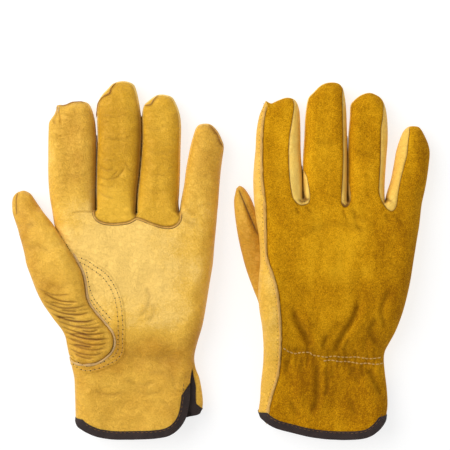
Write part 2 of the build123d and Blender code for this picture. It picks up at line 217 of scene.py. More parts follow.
# ---- Outlines --------------------------------------------------------------------------------
LEFT = {
    "name": "left",
    "middle_joint_drop": 0.0,  # how far the middle finger's tilt moves its joint in x
    "split": 36.6,  # the y above which the skin belongs to the fingers
    "bend": (37.2, 55.5),  # the y range over which the fingers bend
    # the folded edge, clockwise from the cuff's left end, in stretches
    "runs": {
        "hand": [(-43.5, -112), (-43.7, -104), (-44, -94), (-44.5, -84), (-46, -77), (-47.5, -70),
                 (-49, -60), (-50.5, -45), (-52, -28), (-54, -8), (-55.5, 6), (-57, 17), (-58.7, 25.6),
                 (-60.3, 36)],
        "index_side": [(-60.3, 36), (-61.8, 44), (-62.8, 54), (-63.2, 64), (-63.2, 75), (-63.2, 85),
                       (-63, 94), (-62.6, 98.5), (-61, 101.3), (-58.9, 104.5), (-57.7, 108),
                       (-57.2, 110.8)],
        "index": [(-57.2, 110.8), (-54.8, 111.4), (-52.8, 110.9), (-50.6, 111.6), (-46, 113.2),
                  (-40, 113.7), (-35.8, 112.9), (-33.2, 110.3), (-31.2, 105.2), (-29.9, 100), (-29.1, 93),
                  (-28.9, 86.8), (-28.5, 76), (-28.8, 64), (-29, 49), (-28.85, 40), (-28.7, 36.2)],
        "middle": [(-28.7, 36.2), (-28.7, 40), (-28.9, 48), (-28.7, 62), (-28.3, 75), (-27.9, 86),
                   (-28.3, 100), (-28.2, 110), (-27.1, 114.4), (-24.6, 118.5), (-20.5, 123), (-16.9, 126.6),
                   (-11.3, 128.3), (-6.2, 127.8), (-2.1, 125.6), (0, 120.5), (1.4, 114.4), (2.9, 105),
                   (3.6, 95), (3.65, 85), (3.15, 75), (2.05, 62), (0.55, 49), (0.08, 39), (0.1, 34)],
        "ring": [(0.1, 34), (0.2, 39), (0.7, 49), (2.2, 62), (3.3, 75), (3.8, 85), (3.8, 95), (3.9, 105),
                 (5.2, 110.8), (8.1, 113.9), (12.2, 117), (16.2, 118.7), (21.3, 118.3), (25.4, 116.5),
                 (28, 112.3), (30, 107.3), (31.4, 101), (31.8, 93), (31.4, 79), (31.1, 64), (30.5, 49),
                 (30, 41), (30.6, 35)],
        "little": [(30.6, 35), (31.2, 39), (32, 44), (33.9, 54), (35.2, 64.4), (37, 74.6), (38.7, 82.8),
                   (40.7, 89.9), (42.3, 94.5), (44.8, 97.1), (49.9, 97.9), (53.9, 96.6), (58.1, 92),
                   (61.1, 85.8), (62.3, 80.8), (61.3, 72.6), (60.2, 64.4), (59.1, 52), (58.2, 39),
                   (57.9, 36.6)],
        "edge": [(57.9, 36.6), (57, 25.6), (55.7, 12), (54.5, -2.4), (52.5, -14.6), (50.7, -26),
                 (47.4, -45), (43.5, -58.5), (41.5, -66.7), (41.3, -72), (42.5, -78), (44.8, -84),
                 (46.6, -93), (47.4, -101), (47, -106)],
    },
    # painted shade between the fingers: how dark the leather is painted where fingers touch, and how far
    # that reaches: right and left sides
    "gap_shade": (0.72, 5.4, 1.5),
    "squarer": 1.5,  # how much smaller the fingers' edge radius is than the hand's
    # where the cuff is slit, and below that the line at which the two sheets part
    "slit": [(41.3, -72), (42.2, -77), (41.8, -84), (41.3, -92), (41, -100), (39.5, -111), (36, -119)],
    "top_cuff": [(41.3, -72), (39.7, -77), (38.6, -84), (38.3, -91), (38, -99.3), (36, -110), (32.4, -117),
                 (27.4, -121.8), (20.4, -124.9), (6.5, -126.4), (-13.9, -126.7), (-26, -125.2),
                 (-35, -121.8), (-41, -117.8), (-43.2, -114.5), (-43.5, -112)],
    "bottom_cuff": [(47, -106), (45.3, -109.5), (40, -112), (25, -115.5), (5, -118), (-15, -118.5),
                    (-30, -117), (-39, -114.5), (-43.5, -112)],
    "flap": [(41.3, -72), (38, -80), (36.4, -90), (36.3, -99), (37.4, -106), (40.3, -110), (44.5, -109.4),
             (47, -106)],
    # how much of each edge is left bare at its start and end, and over how much the tape tapers in
    "tape": {"top": (15, 0), "bottom": (0, 0), "flap": (5, 0)},
    "taper": {"top": (9, 2), "bottom": (1, 1), "flap": (14, 0)},
    # y, half thickness, height of the middle, tilt: as the model's sections
    "stations": [(-131, 11.5, 11.4, 0), (-100, 11.3, 11.1, 0), (-72, 11.2, 11.0, 0), (-42, 12.8, 12.5, 0),
                 (-5, 13, 12.7, 0), (20, 12.3, 12.0, 0), (46, 11, 10.7, 0)],
    "centre": [(-131, -2), (-72, -3.6), (-5, 0), (46, -3.2)],
    # lighter and darker places, partly the leather's own tone and partly painted highlight and shade: x, y,
    # half width, half height, amount
    "tones_and_painted_light": [(-12, 5, 42, 42, 1.3), (20, -25, 34, 30, 0.5), (14, -62, 34, 14, -1.0),
              (-10, -94, 60, 30, -0.42), (46, -50, 12, 26, -0.6), (-46, 78, 16, 38, -0.75),
              (50, 70, 14, 36, -0.75), (50, 5, 8, 50, -0.1), (-50, -100, 8, 30, -0.3),
              (-12, -54, 5, 20, -0.9), (-28, -76, 22, 4, -0.7), (-46, 96, 14, 8, -0.25),
              (-14, 50, 13, 14, 0.35), (17, 95, 10, 18, 0.25)],
    "centres": {"index": ((-45.5, 46), (-45.5, 110)), "middle": ((-14.3, 46), (-12.5, 125)),
                "ring": ((15.6, 46), (18, 118)), "little": ((44.5, 46), (51, 95))},
}
RIGHT = {
    "name": "right",
    "middle_joint_drop": KNUCKLE_HALF * math.sin(math.radians(5)),
    "split": 44.4,
    "bend": (45.2, 61.0),
    "runs": {
        "hand": [(-62.8, -108), (-61.6, -99), (-61, -88), (-59.6, -75), (-59.2, -65), (-59.6, -55),
                 (-60.6, -45), (-62.4, -34), (-63, -22), (-62.6, -10), (-61.8, 1), (-62.6, 17), (-64.6, 29),
                 (-66.1, 43)],
        "index_side": [(-66.1, 43), (-66.6, 56), (-66, 67), (-64.8, 79), (-64.1, 92), (-62.1, 103),
                       (-60.2, 108), (-58.6, 112), (-57.2, 114.3)],
        "index": [(-57.2, 114.3), (-54.8, 112.8), (-53.2, 112.4), (-50.5, 113.6), (-47.5, 115),
                  (-42.7, 116.5), (-38.1, 115.8), (-35.1, 112.9), (-33.2, 106.3), (-32.6, 95), (-32.4, 79),
                  (-31.75, 66), (-31.5, 54), (-31.3, 43.8)],
        "middle": [(-31.3, 43.8), (-31.2, 51), (-31.2, 60), (-31.2, 67), (-30.7, 76), (-29.9, 88),
                   (-29.4, 100), (-28.4, 109.3), (-26.9, 116), (-23.3, 120), (-18.2, 125), (-13, 127.2),
                   (-7, 127.2), (-3.4, 125), (-1.4, 120.5), (0, 110), (0.6, 95), (0.8, 79), (0.75, 64),
                   (0.5, 50), (0.4, 42.2)],
        "ring": [(0.4, 42.2), (0.6, 47), (0.75, 55), (1, 64), (1.2, 75), (1.7, 90), (2.7, 102),
                 (3.2, 110.5), (5.3, 113.9), (10.3, 118), (16.5, 120), (21.6, 118.5), (25.6, 115.4),
                 (28.2, 109.3), (29.5, 100), (29.8, 87), (28.7, 72.6), (27.6, 59.3), (27.1, 49),
                 (27.4, 42)],
        "little": [(27.4, 42), (29, 48.5), (31.8, 57.3), (33.8, 66.5), (35.8, 77.7), (37.9, 84.8), (41, 92),
                   (45, 95.6), (50.1, 96), (53.2, 94.5), (56.3, 89), (58.8, 82.8), (59.8, 77), (59.3, 70),
                   (57.8, 59), (56.2, 50), (54.9, 44.4)],
        "edge": [(54.9, 44.4), (53.8, 39), (52.2, 25.6), (50.1, 13), (47.8, -1), (45.2, -17), (41.4, -33),
                 (37.9, -43.7), (34.5, -52), (30.7, -59), (27.7, -65), (27, -71), (27.7, -80),
                 (29.2, -92.7), (29.6, -103), (28.8, -110)],
    },
    # painted shade between the fingers, as on the left glove
    "gap_shade": (0.45, 1.8, 1.5),
    "squarer": 4.0,
    "slit": [(27.7, -80)],
    "top_cuff": [(28.8, -110), (27.3, -114.3), (22.3, -120.3), (15.3, -124.8), (5.3, -126.7),
                 (-10.1, -126.7), (-25.4, -125.1), (-40.6, -121.5), (-50.7, -118.6), (-57.6, -114.7),
                 (-61.8, -110.6), (-62.8, -108)],
    "bottom_cuff": [(27.7, -80), (25.6, -92), (22, -104), (14, -114), (0, -119), (-20, -119.5),
                    (-42, -116.5), (-56, -112), (-62.8, -108)],
    "flap": None,
    "tape": {"top": (0, 0), "bottom": (12, 0)},
    "taper": {"top": (4, 4), "bottom": (2, 1)},
    "stations": [(-131, 11.2, 12.0, 0), (-100, 10.6, 11.8, 1.5), (-72, 10.2, 12.6, 3), (-42, 12.8, 18.6, 7),
                 (-5, 13, 20.4, 8), (20, 12.3, 18.6, 6.8), (46, 11, 16.0, 5)],
    "centre": [(-131, -16.8), (-72, -18), (-5, -8.5), (46, -4.8)],
    # as on the left glove: partly the leather's own tone, partly painted highlight and shade
    "tones_and_painted_light": [(-10, -95, 60, 28, -0.6), (36, -10, 16, 60, -0.6), (-10, 90, 60, 40, 0.3),
              (54, 70, 7, 30, -0.45), (-30, -48, 8, 18, -0.3), (2, -50, 8, 18, -0.3), (0, 15, 40, 34, 0.3),
              (-9, -6, 12, 9, 0.5), (13, -9, 4, 6, 0.7), (-10, 104, 60, 26, -0.3)],
    "centres": {"index": ((-49, 46), (-48, 112)), "middle": ((-15.2, 46), (-14, 125)),
                "ring": ((14, 46), (16.5, 118)), "little": ((42, 46), (50, 94))},
}


def gunn_seam(shape):
    """The stepped seam that joins the middle and ring fronts to the palm, from crotch to crotch."""
    x0, y0 = shape["runs"]["middle"][0]
    x1, y1 = shape["runs"]["little"][0]
    steps = [(0, 0), (-0.3, -3.6), (1.9, -7), (6.2, -9), (13.3, -9.6), (22.5, -8.5), (26.6, -6.6),
             (29.1, -5.2), (33.7, -6.3), (40.9, -9), (48, -10.9), (54.1, -10.9), (58.2, -8.4), (59.9, -4.5),
             (59.3, 0)]
    wide = steps[-1][0]
    return smooth([(x0 + x * (x1 - x0) / wide, y0 + y + (y1 - y0) * x / wide) for x, y in steps])


# The left thumb's base on the palm, from the index side round the heel to the hand's edge
OVAL = [(-45.4, 5.2), (-41.9, -0.9), (-38.3, -8), (-36.3, -16.2), (-35.4, -24), (-33.4, -30.5),
        (-28.2, -37.6), (-22, -44.8), (-17.4, -50.9), (-15.9, -57), (-17.4, -63.1), (-22, -68.2),
        (-28.2, -71.8), (-35.3, -72.8), (-42.4, -71.8), (-47.3, -68.6)]
LEFT_THUMB = {
    "outline": [(-84.2, 49.1), (-81.8, 49.8), (-79.2, 49.4), (-75.6, 47.2), (-72.6, 43), (-69.4, 38.4),
                (-64.9, 33), (-59.7, 26.6), (-54.7, 19.5), (-50, 12.4)] + OVAL +
               [(-49.1, -62.1), (-50.6, -54.6), (-53.9, -48), (-58.9, -41.3), (-63.6, -34.5), (-68, -27),
                (-72, -18.2), (-75.1, -10.1), (-78.1, -1.9), (-80.3, 7.3), (-82.4, 15), (-84.9, 22.6),
                (-87.1, 29), (-88.9, 35), (-89.3, 40.9), (-88.5, 45.1), (-86.6, 47.8)],
    # where along the outline its height is known: x, y, height
    "edge_heights": [(-45, 5, 25.3), (-36, -18, 25.8), (-29, -37, 25.4), (-16.5, -57, 24.4),
                     (-28, -72, 22.6), (-40, -73, 19), (-48, -67, 13.5), (-50, -55, 14), (-59, -41, 17.5),
                     (-68, -27, 19.5), (-75, -10, 18), (-81, 10, 14.5), (-87, 29, 10.5), (-89, 42, 8),
                     (-82, 50, 7.5), (-73, 43, 9.5), (-62, 29, 17), (-54, 18, 22.5)],
    # share of the way to the tip, half thickness above and below, edge radius
    "sections": [(-0.2, 4.5, 5, 15), (0.1, 6.5, 7, 15), (0.3, 9, 10, 14), (0.5, 10.5, 10, 13),
                 (0.7, 10, 9.5, 12.5), (0.88, 8.5, 7.4, 11.5), (1, 7, 7, 10)],
    # painted shade: the thumb darkened towards its left side and its base
    "tones_and_painted_light": [(-34, -60, 16, 14, -0.95), (-80, 24, 14, 34, -0.75), (-62, -14, 20, 22, -0.9)],
    "root": (-38, -50), "tip": (-85, 47), "hinge": (-66.0, 12.8), "axis": (0.9104, 0.4137),
}
RIGHT_THUMB = {
    "outline": [(-78.4, 51.4), (-76.6, 53.2), (-74.9, 53), (-72.4, 51.2), (-70, 47.8), (-67.4, 43),
                (-63.8, 34), (-58, 20), (-51, 6), (-43, -8), (-34, -22), (-26, -36), (-23, -50), (-29, -60),
                (-41, -62.5), (-51, -56), (-58, -44), (-63.4, -28), (-66.1, -21.3), (-71.3, -7), (-74.8, 6),
                (-76.2, 12), (-77.6, 19), (-79.1, 29), (-80, 38), (-80, 44)],
    "edge_heights": [(-77, 53, 6.5), (-80, 40, 8), (-77, 16, 9), (-71, -7, 10.5), (-65, -22, 12),
                     (-58, -44, 12.5), (-41, -62, 8), (-24, -50, 6), (-34, -22, 8), (-51, 6, 9),
                     (-66, 40, 8)],
    "sections": [(-0.2, 3, 3, 12), (0.1, 4, 4.5, 12), (0.3, 6, 7, 12), (0.5, 7, 8, 12), (0.7, 7, 7.5, 12),
                 (0.88, 6.5, 6.5, 11), (1, 6, 6, 10)],
    # painted shade on the thumb beside and under the hand's edge
    "tones_and_painted_light": [(-68, 10, 14, 60, -1.3)],
    "root": (-36, -50), "tip": (-77, 51), "hinge": (-64.16, 15.52), "axis": (-0.9512, -0.3087),
}


# ---- Sheets over an outline ---------------------------------------------------------------------
def triangulated(lines, loose):
    """Triangles over the points with every line kept as edges, all turned the same way up."""
    verts, edges = [], []
    for line in lines:
        first = len(verts)
        verts += [Vector(p) for p in line]
        edges += [(first + i, first + i + 1) for i in range(len(line) - 1)]
    made = delaunay_2d_cdt(verts + [Vector(p) for p in loose], edges, [], 0, 1e-3)
    xy = np.array([v[:] for v in made[0]])
    tri = np.array([f for f in made[2] if len(f) == 3])
    a, b = xy[tri[:, 1]] - xy[tri[:, 0]], xy[tri[:, 2]] - xy[tri[:, 0]]
    area = a[:, 0] * b[:, 1] - a[:, 1] * b[:, 0]
    tri, area = tri[np.abs(area) > 1e-6], area[np.abs(area) > 1e-6]
    tri[area < 0] = tri[area < 0][:, ::-1]
    return xy, tri


def filling(side, seams, step):
    """Points between the lines: rows beside the outline and the seams, and an even grid."""
    rows = [row for d in EDGE_ROWS for row in beside(side, d)]
    rows += [row for seam in seams for d in SEAM_ROWS for row in beside(seam, d)]
    rows = thinned(np.vstack(rows), ROW_CELL)
    low, high = side.min(0), side.max(0)
    grid = np.stack(
        np.meshgrid(np.arange(low[0], high[0], step), np.arange(CUFF_END, high[1], step * 0.87)), -1
    )
    grid[1::2, :, 0] += step / 2
    grid = grid.reshape(-1, 2)
    keep = distance(grid, side)[0] > EDGE_CLEAR
    for seam in seams:
        keep &= distance(grid, seam)[0] > SEAM_CLEAR
    points = np.vstack([rows, grid[keep]])
    return points[distance(points, side)[0] > 0.1]


def along_marks(marks, side, points):
    """The points, with closer ones added along the narrow folds so that these stay crisp."""
    rows = [points]
    for line, _, width, _ in marks:
        if width < SKIN_STEP:
            rows += [moved for d in FOLD_ROWS for moved in beside(line, d)] + [line]
    new = np.vstack(rows[1:]) if rows[1:] else np.empty((0, 2))
    new = new[inside(new, side) & (distance(new, side)[0] > 0.7)]
    return thinned(np.vstack([new, points]), FOLD_CELL)


def vertex_normals(points, faces):
    """Each point's normal, from the faces around it."""
    a, b, c = (points[faces[:, k]] for k in range(3))
    n = np.cross(b - a, c - a)
    out = np.zeros_like(points)
    for k in range(3):
        np.add.at(out, faces[:, k], n)
    return out / np.maximum(np.linalg.norm(out, axis=1), 1e-12)[:, None]


def rounded(edge, radius):
    """How far a sheet has risen from its folded edge, 0 to 1."""
    u = np.clip(1 - edge / radius, 0, 1)
    return (1 - u**ROUNDNESS) ** (1 / ROUNDNESS)


def pressed(xy, marks):
    """How far the marks push the leather down at each point, and how much painted shade darkens it there.
    """
    push, crease = np.zeros(len(xy)), np.zeros(len(xy))
    for line, depth, width, dark in marks:
        near = ((xy > line.min(0) - 3 * width) & (xy < line.max(0) + 3 * width)).all(1)
        if near.any():
            far, along = distance(xy[near], line)
            fade = np.clip(np.minimum(along, 1 - along) * 6 + 0.25, 0, 1)
            dip = np.exp(-((far / width) ** 2)) * fade
            push[near] += depth * dip
            crease[near] += dark * dip
    return push, crease


def toned(xy, tones_and_painted_light):
    """How much lighter or darker the leather is painted at each point, from soft round patches: partly its
    own tone, partly painted highlight and shade.
    """
    tone = np.zeros(len(xy))
    for x, y, wide, high, amount in tones_and_painted_light:
        tone += amount * np.exp(-(((xy[:, 0] - x) / wide) ** 2) - ((xy[:, 1] - y) / high) ** 2)
    return tone


class Glove:
    """The skin of one glove's hand and fingers."""

    def __init__(self, shape):
        self.shape = shape
        self.name = shape["name"]
        joint = JOINTS[f"{self.name}_middle_flex"]["pos_m"]
        self.origin = np.array(
            [joint[0] * 1000 - MIDDLE_X + shape["middle_joint_drop"], joint[1] * 1000 - KNUCKLE_Y]
        )
        runs = {k: smooth(v) for k, v in shape["runs"].items()}
        self.side = np.vstack([r[:-1] for r in runs.values()] + [runs["edge"][-1:]])
        self.crotches = np.array([runs[f][0] for f in ("middle", "ring", "little")])
        self.rings = {f: runs[f] for f in FINGERS}
        self.rings["index"] = np.vstack([runs["index_side"], runs["index"]])
        self.marks = []
        self.cut = int(((self.side - np.array(shape["slit"][0])) ** 2).sum(1).argmin())
        self.closing = self.side
        if shape["flap"]:
            self.closing = np.vstack([self.side[: self.cut + 1], smooth(shape["slit"])[1:]])

    def finger_of(self, xy):
        """The finger each point is on, as a number, or -1 on the hand."""
        found = np.full(len(xy), -1)
        above = xy[:, 1] > self.shape["split"] - 1e-6
        for n, f in enumerate(FINGERS):
            found[above & inside(xy, self.rings[f])] = n
        rest = above & (found < 0)
        if rest.any():
            reach = np.stack([distance(xy[rest], self.rings[f])[0] for f in FINGERS], 1)
            found[rest] = reach.argmin(1)
        return found

    def outward(self, xy, who):
        """1 right of each point's finger's centre line, -1 left of it."""
        centre = np.zeros(len(xy))
        for n, f in enumerate(FINGERS):
            (x0, y0), (x1, y1) = self.shape["centres"][f]
            on = who == n
            centre[on] = x0 + (xy[on, 1] - y0) * (x1 - x0) / (y1 - y0)
        return np.where(xy[:, 0] > centre, 1, -1)

    def build_shape(self, xy):
        """Half thickness, height of the middle and edge radius at each point."""
        y = np.minimum(xy[:, 1], KNUCKLE_Y)
        rows = np.array(self.shape["stations"], float)
        half, middle, tilt = (np.interp(y, rows[:, 0], rows[:, k]) for k in (1, 2, 3))
        centre = np.array(self.shape["centre"], float)
        across = xy[:, 0] - np.interp(y, centre[:, 0], centre[:, 1])
        middle = middle - across * np.tan(np.radians(tilt))
        radius = np.full(len(xy), EDGE_RADIUS)
        who = np.where(xy[:, 1] > KNUCKLE_Y, self.finger_of(xy), -1)
        for n, f in enumerate(FINGERS):
            on = who == n
            share = np.clip((xy[on, 1] - KNUCKLE_Y) / LENGTHS[f], 0, 1)
            half[on] = KNUCKLE_HALF * np.interp(share, [0, 0.4, 0.74, 0.9, 1], [1, 0.95, 0.88, 0.78, 0.66])
            middle[on] += (half[on] - 0.3 - middle[on]) * ramp(share, 0, 0.45)
            radius[on] = EDGE_RADIUS - self.shape["squarer"] * ramp(share, 0, 0.3)
        near = np.sqrt(((xy[:, None] - self.crotches[None]) ** 2).sum(2)).min(1)
        return half, middle, radius - CROTCH_TIGHTER * np.exp(-((near / CROTCH_REACH) ** 2))

    def heights(self, xy):
        """The heights of the lower and the upper sheet, and how much shade is painted on the upper one, in
        its creases and between the fingers.
        """
        half, middle, radius = self.build_shape(xy)
        full = rounded(distance(xy, self.closing)[0], radius)
        push, crease = pressed(xy, self.marks)
        # painted shade: the skin between the fingers darkened, added to the painted shade of the creases
        crease = crease * full + self.shape["gap_shade"][0] * self.between(xy)
        rough = 0.45 * ripple(xy, 42, 3) + 0.16 * ripple(xy, 15, 4) + 0.05 * ripple(xy, 6, 5)
        top = middle + full * (half + rough - push)
        bottom = middle - half * rounded(distance(xy, self.side)[0], radius)
        bottom = np.maximum(bottom, INNER_LOWEST)
        return bottom, np.maximum(top, bottom + LEAST_GAP * full), crease

    def between(self, xy):
        """How near each finger's skin is to the next finger, 1 where they touch: the mask of the shade
        painted between the fingers.
        """
        split, reaches = self.shape["split"], self.shape["gap_shade"][1:]
        found = np.zeros(len(xy))
        near = np.flatnonzero((xy[:, 1] > split - 12) & (distance(xy, self.side)[0] < 5.5))
        if len(near):
            lifted = np.column_stack([xy[near, 0], np.maximum(xy[near, 1], split + 1)])
            who = self.finger_of(lifted)
            for n in range(len(FINGERS)):
                on = near[who == n]
                for reach, other in zip(reaches, (n + 1, n - 1)):
                    if len(on) and 0 <= other < len(FINGERS):
                        gap = distance(xy[on], self.rings[FINGERS[other]])[0]
                        found[on] = np.maximum(found[on], 1 - ramp(gap, 0.2, reach))
        return found

    def top(self, xy):
        return self.heights(xy)[1]

    def set_cuffs(self):
        """The cuff's edges, the stretch of each that tape binds, and the outline of that tape."""
        shape = self.shape
        self.top_cuff, self.bottom_cuff = smooth(shape["top_cuff"]), smooth(shape["bottom_cuff"])
        self.flap = smooth(shape["flap"]) if shape["flap"] else None
        cuffs = {"top": self.top_cuff, "bottom": self.bottom_cuff, "flap": self.flap}
        self.bound, self.tape = {}, {}
        for sheet, (start, end) in shape["tape"].items():
            line = cuffs[sheet][start : len(cuffs[sheet]) - end]
            inner = np.vstack(beside(line, -BINDING if sheet == "flap" else BINDING))
            first, last = shape["taper"][sheet]
            self.bound[sheet] = line
            self.tape[sheet] = np.vstack([line, inner[first : len(inner) - last][::-1], line[:1]])

    def cut_lines(self, seams):
        """The lines that have to be edges of the triangles."""
        split = np.array([(x, self.shape["split"]) for x in np.arange(-75, 75, EDGE_STEP)])
        lines = [self.side, self.top_cuff, self.bottom_cuff, split] + seams
        if self.flap is not None:
            lines.append(self.flap)
        for sheet, cuff in self.bound.items():
            inward = -1 if sheet == "flap" else 1
            lines += [line for d in (0.5, 1.0) for line in beside(cuff, d * inward)]
            lines.append(resample(self.tape[sheet][len(cuff) - 1 :], 0.9))
        for d in (UPPER_WALL[self.name], LOWER_WALL):
            lines += beside(self.side, d)
        return lines

    def regions(self):
        """Each sheet's outline. Behind a slit, the flap carries the far side of the cuff."""
        first_part = self.side[: self.cut + 1]
        if self.flap is None:
            return {
                "top": np.vstack([self.side, self.top_cuff]),
                "bottom": np.vstack([first_part, self.bottom_cuff]),
            }
        return {
            "top": np.vstack([first_part, self.top_cuff]),
            "bottom": np.vstack([self.side, self.bottom_cuff]),
            "flap": np.vstack([self.side[self.cut :], self.flap[::-1]]),
        }

    def build(self, seams):
        """Triangulates the outline with every seam as edges, and places the sheets."""
        self.set_cuffs()
        whole = np.vstack([self.side, self.bottom_cuff[1:-1], self.top_cuff[1:-1]])
        narrow = [m for m in self.marks if not any(m[0] is seam for seam in seams)]
        loose = filling(self.side, seams, SKIN_STEP)
        low, high = whole.min(0) - 1, whole.max(0) + 1
        loose = along_marks(narrow, whole, loose[((loose > low) & (loose < high)).all(1)])
        self.xy, tri = triangulated(self.cut_lines(seams), loose)
        mid = self.xy[tri].mean(1)
        self.flat = {sheet: tri[inside(mid, ring)] for sheet, ring in self.regions().items()}

        n = len(self.xy)
        self.edge, along = distance(self.xy, self.side)
        welded = self.edge < WELD
        before = along * (len(self.side) - 1) <= self.cut + 0.01
        under = np.where(welded & (before | (self.flap is None)), 0, n) + np.arange(n)
        bottom, top, crease = self.heights(self.xy)
        half, middle, radius = self.build_shape(self.xy)
        flap = middle + 0.45 * half * rounded(self.edge, radius)
        self.points = np.vstack([np.column_stack([self.xy + self.origin, z]) for z in (top, bottom, flap)])
        self.faces = {"top": self.flat["top"], "bottom": under[self.flat["bottom"]][:, ::-1]}
        if self.flap is not None:
            on_flap = np.flatnonzero(welded & ~before)
            self.points[n + on_flap] = self.points[2 * n + on_flap]
            over = np.where(welded, under, np.arange(n) + 2 * n)
            self.faces["flap"] = over[self.flat["flap"]]
        self.crease = np.concatenate([crease, np.zeros(2 * n)])
        self.tone = np.concatenate([toned(self.xy, self.shape["tones_and_painted_light"]), np.zeros(2 * n)])
        self.normals = vertex_normals(self.points, np.vstack(list(self.faces.values())))


class Thumb:
    """The skin of one thumb: folded at its outline, whose height follows the hand at the root."""

    def __init__(self, glove, shape, marks):
        self.glove, self.shape, self.name = glove, shape, glove.name
        self.origin, self.marks = glove.origin, marks
        self.side = smooth(shape["outline"] + shape["outline"][:1])
        anchors = np.array(shape["edge_heights"], float)
        far = ((self.side[:, None] - anchors[None, :, :2]) ** 2).sum(2) + 4
        self.side_z = ((1 / far**2) * anchors[:, 2]).sum(1) / (1 / far**2).sum(1)

    def heights(self, xy):
        """The lower and the upper sheet's heights, the shade painted in the upper one's creases and how far
        the edge is.
        """
        middle = np.empty(len(xy))
        for i in range(0, len(xy), 3000):
            far = ((xy[i : i + 3000, None] - self.side[None]) ** 2).sum(2) + 0.05
            middle[i : i + 3000] = ((1 / far**1.5) * self.side_z).sum(1) / (1 / far**1.5).sum(1)
        edge = distance(xy, self.side)[0]
        root, tip = np.array(self.shape["root"], float), np.array(self.shape["tip"], float)
        share = (xy - root) @ (tip - root) / ((tip - root) ** 2).sum()
        rows = np.array(self.shape["sections"], float)
        above, below, radius = (np.interp(share, rows[:, 0], rows[:, k]) for k in (1, 2, 3))
        full = rounded(edge, radius)
        push, crease = pressed(xy, self.marks)
        rough = 0.3 * ripple(xy, 30, 8) + 0.14 * ripple(xy, 11, 9) + 0.05 * ripple(xy, 5, 10)
        top = middle + full * (above + rough - push)
        bottom = np.maximum(middle - full * below, INNER_LOWEST)
        return bottom, np.maximum(top, bottom + LEAST_GAP * full), crease * full, edge

    def top(self, xy):
        return self.heights(xy)[1]

    def build(self):
        """Triangulates the outline, places both sheets and leaves out what the hand hides."""
        hinge, axis = np.array(self.shape["hinge"]), np.array(self.shape["axis"])
        across = np.array([-axis[1], axis[0]])
        across *= np.sign(across @ (np.array(self.shape["tip"]) - self.shape["root"]))
        split = hinge - ROOT_END * across + np.outer(np.arange(-40, 41), axis)
        loose = along_marks(self.marks, self.side, filling(self.side, [], THUMB_STEP))
        self.xy, tri = triangulated([self.side, split] + beside(self.side, 1.0), loose)
        tri = tri[inside(self.xy[tri].mean(1), self.side)]
        n = len(self.xy)
        bottom, top, crease, edge = self.heights(self.xy)
        under = np.where(edge < WELD, np.arange(n), np.arange(n) + n)
        self.points = np.vstack([np.column_stack([self.xy + self.origin, z]) for z in (top, bottom)])
        self.crease = np.concatenate([crease, np.zeros(n)])
        self.tone = np.concatenate([toned(self.xy, self.shape["tones_and_painted_light"]), np.zeros(n)])
        mid = self.xy[tri].mean(1)
        hidden = inside(mid, np.vstack([self.glove.side, self.glove.bottom_cuff]))
        hidden &= distance(mid, self.glove.side)[0] > 4
        flat = {"top": tri, "bottom": tri}
        if self.name == "left":
            flat["bottom"] = tri[~hidden]
        else:
            deep = (top > self.glove.heights(self.xy)[0] + 1.0)[tri].any(1)
            flat["top"] = tri[~(hidden & deep)]
        self.faces = {"top": flat["top"], "bottom": under[flat["bottom"]][:, ::-1]}
        self.normals = vertex_normals(self.points, np.vstack(list(self.faces.values())))
        self.beyond = {k: (self.xy[t].mean(1) - hinge) @ across > -ROOT_END for k, t in flat.items()}
        self.bend = [(*((hinge + d * across + self.origin) / 1000), BEND_HEIGHT) for d in THUMB_BEND]


# ---- Meshes --------------------------------------------------------------------------------------
def new_mesh(name, points, faces, normals=None, floats=None):
    """A smooth mesh object from points in mm, which remembers where its points lie at rest."""
    mesh = bpy.data.meshes.new(name)
    points = np.asarray(points, float)
    mesh.from_pydata((points * 0.001).tolist(), [], [tuple(int(i) for i in f) for f in faces])
    mesh.polygons.foreach_set("use_smooth", [True] * len(mesh.polygons))
    mesh.attributes.new("rest", "FLOAT_VECTOR", "POINT").data.foreach_set("vector", points.ravel())
    for key, values in (floats or {}).items():
        mesh.attributes.new(key, "FLOAT", "POINT").data.foreach_set("value", np.asarray(values, np.float32))
    if normals is not None:
        mesh.normals_split_custom_set_from_vertices(np.asarray(normals).tolist())
    obj = bpy.data.objects.new(name, mesh)
    bpy.context.scene.collection.objects.link(obj)
    return obj


def panel(name, skin, faces, lift=0.0, thickness=LEATHER):
    """A closed panel: the skin raised by the lift, the same skin a thickness further in, and a rim."""
    used, flat = np.unique(np.asarray(faces), return_inverse=True)
    faces = flat.reshape(-1, 3)
    normals = skin.normals[used]
    count = len(skin.points)
    lift, thickness = (np.broadcast_to(v, count)[used][:, None] for v in (lift, thickness))
    outer = skin.points[used] + lift * normals
    inner = skin.points[used] + (lift - thickness) * normals
    outer[:, 2] = np.maximum(outer[:, 2], OUTER_LOWEST)
    inner[:, 2] = np.maximum(inner[:, 2], INNER_LOWEST)
    n = len(used)
    edges = np.vstack([faces[:, [0, 1]], faces[:, [1, 2]], faces[:, [2, 0]]])
    key = np.sort(edges, 1)
    _, first, times = np.unique(key[:, 0] * (n + 1) + key[:, 1], return_index=True, return_counts=True)
    rim = edges[first[times == 1]]
    quads = np.column_stack([rim[:, 1], rim[:, 0], rim[:, 0] + n, rim[:, 1] + n])
    everything = faces.tolist() + (faces[:, ::-1] + n).tolist() + quads.tolist()
    floats = {"crease": np.tile(skin.crease[used], 2), "tone": np.tile(skin.tone[used], 2)}
    return new_mesh(name, np.vstack([outer, inner]), everything, np.vstack([normals, -normals]), floats)


def on_top(skin, line):
    """A line's points on the upper sheet and the sheet's normals there."""
    z = skin.top(line)
    slopes = []
    for step in ((SLOPE_REACH, 0), (0, SLOPE_REACH)):
        rise = skin.top(line + np.array(step)) - skin.top(line - np.array(step))
        slopes.append(rise / (2 * SLOPE_REACH))
    normal = np.column_stack([-slopes[0], -slopes[1], np.ones(len(line))])
    normal /= np.linalg.norm(normal, axis=1)[:, None]
    return np.column_stack([line + skin.origin, z]), normal


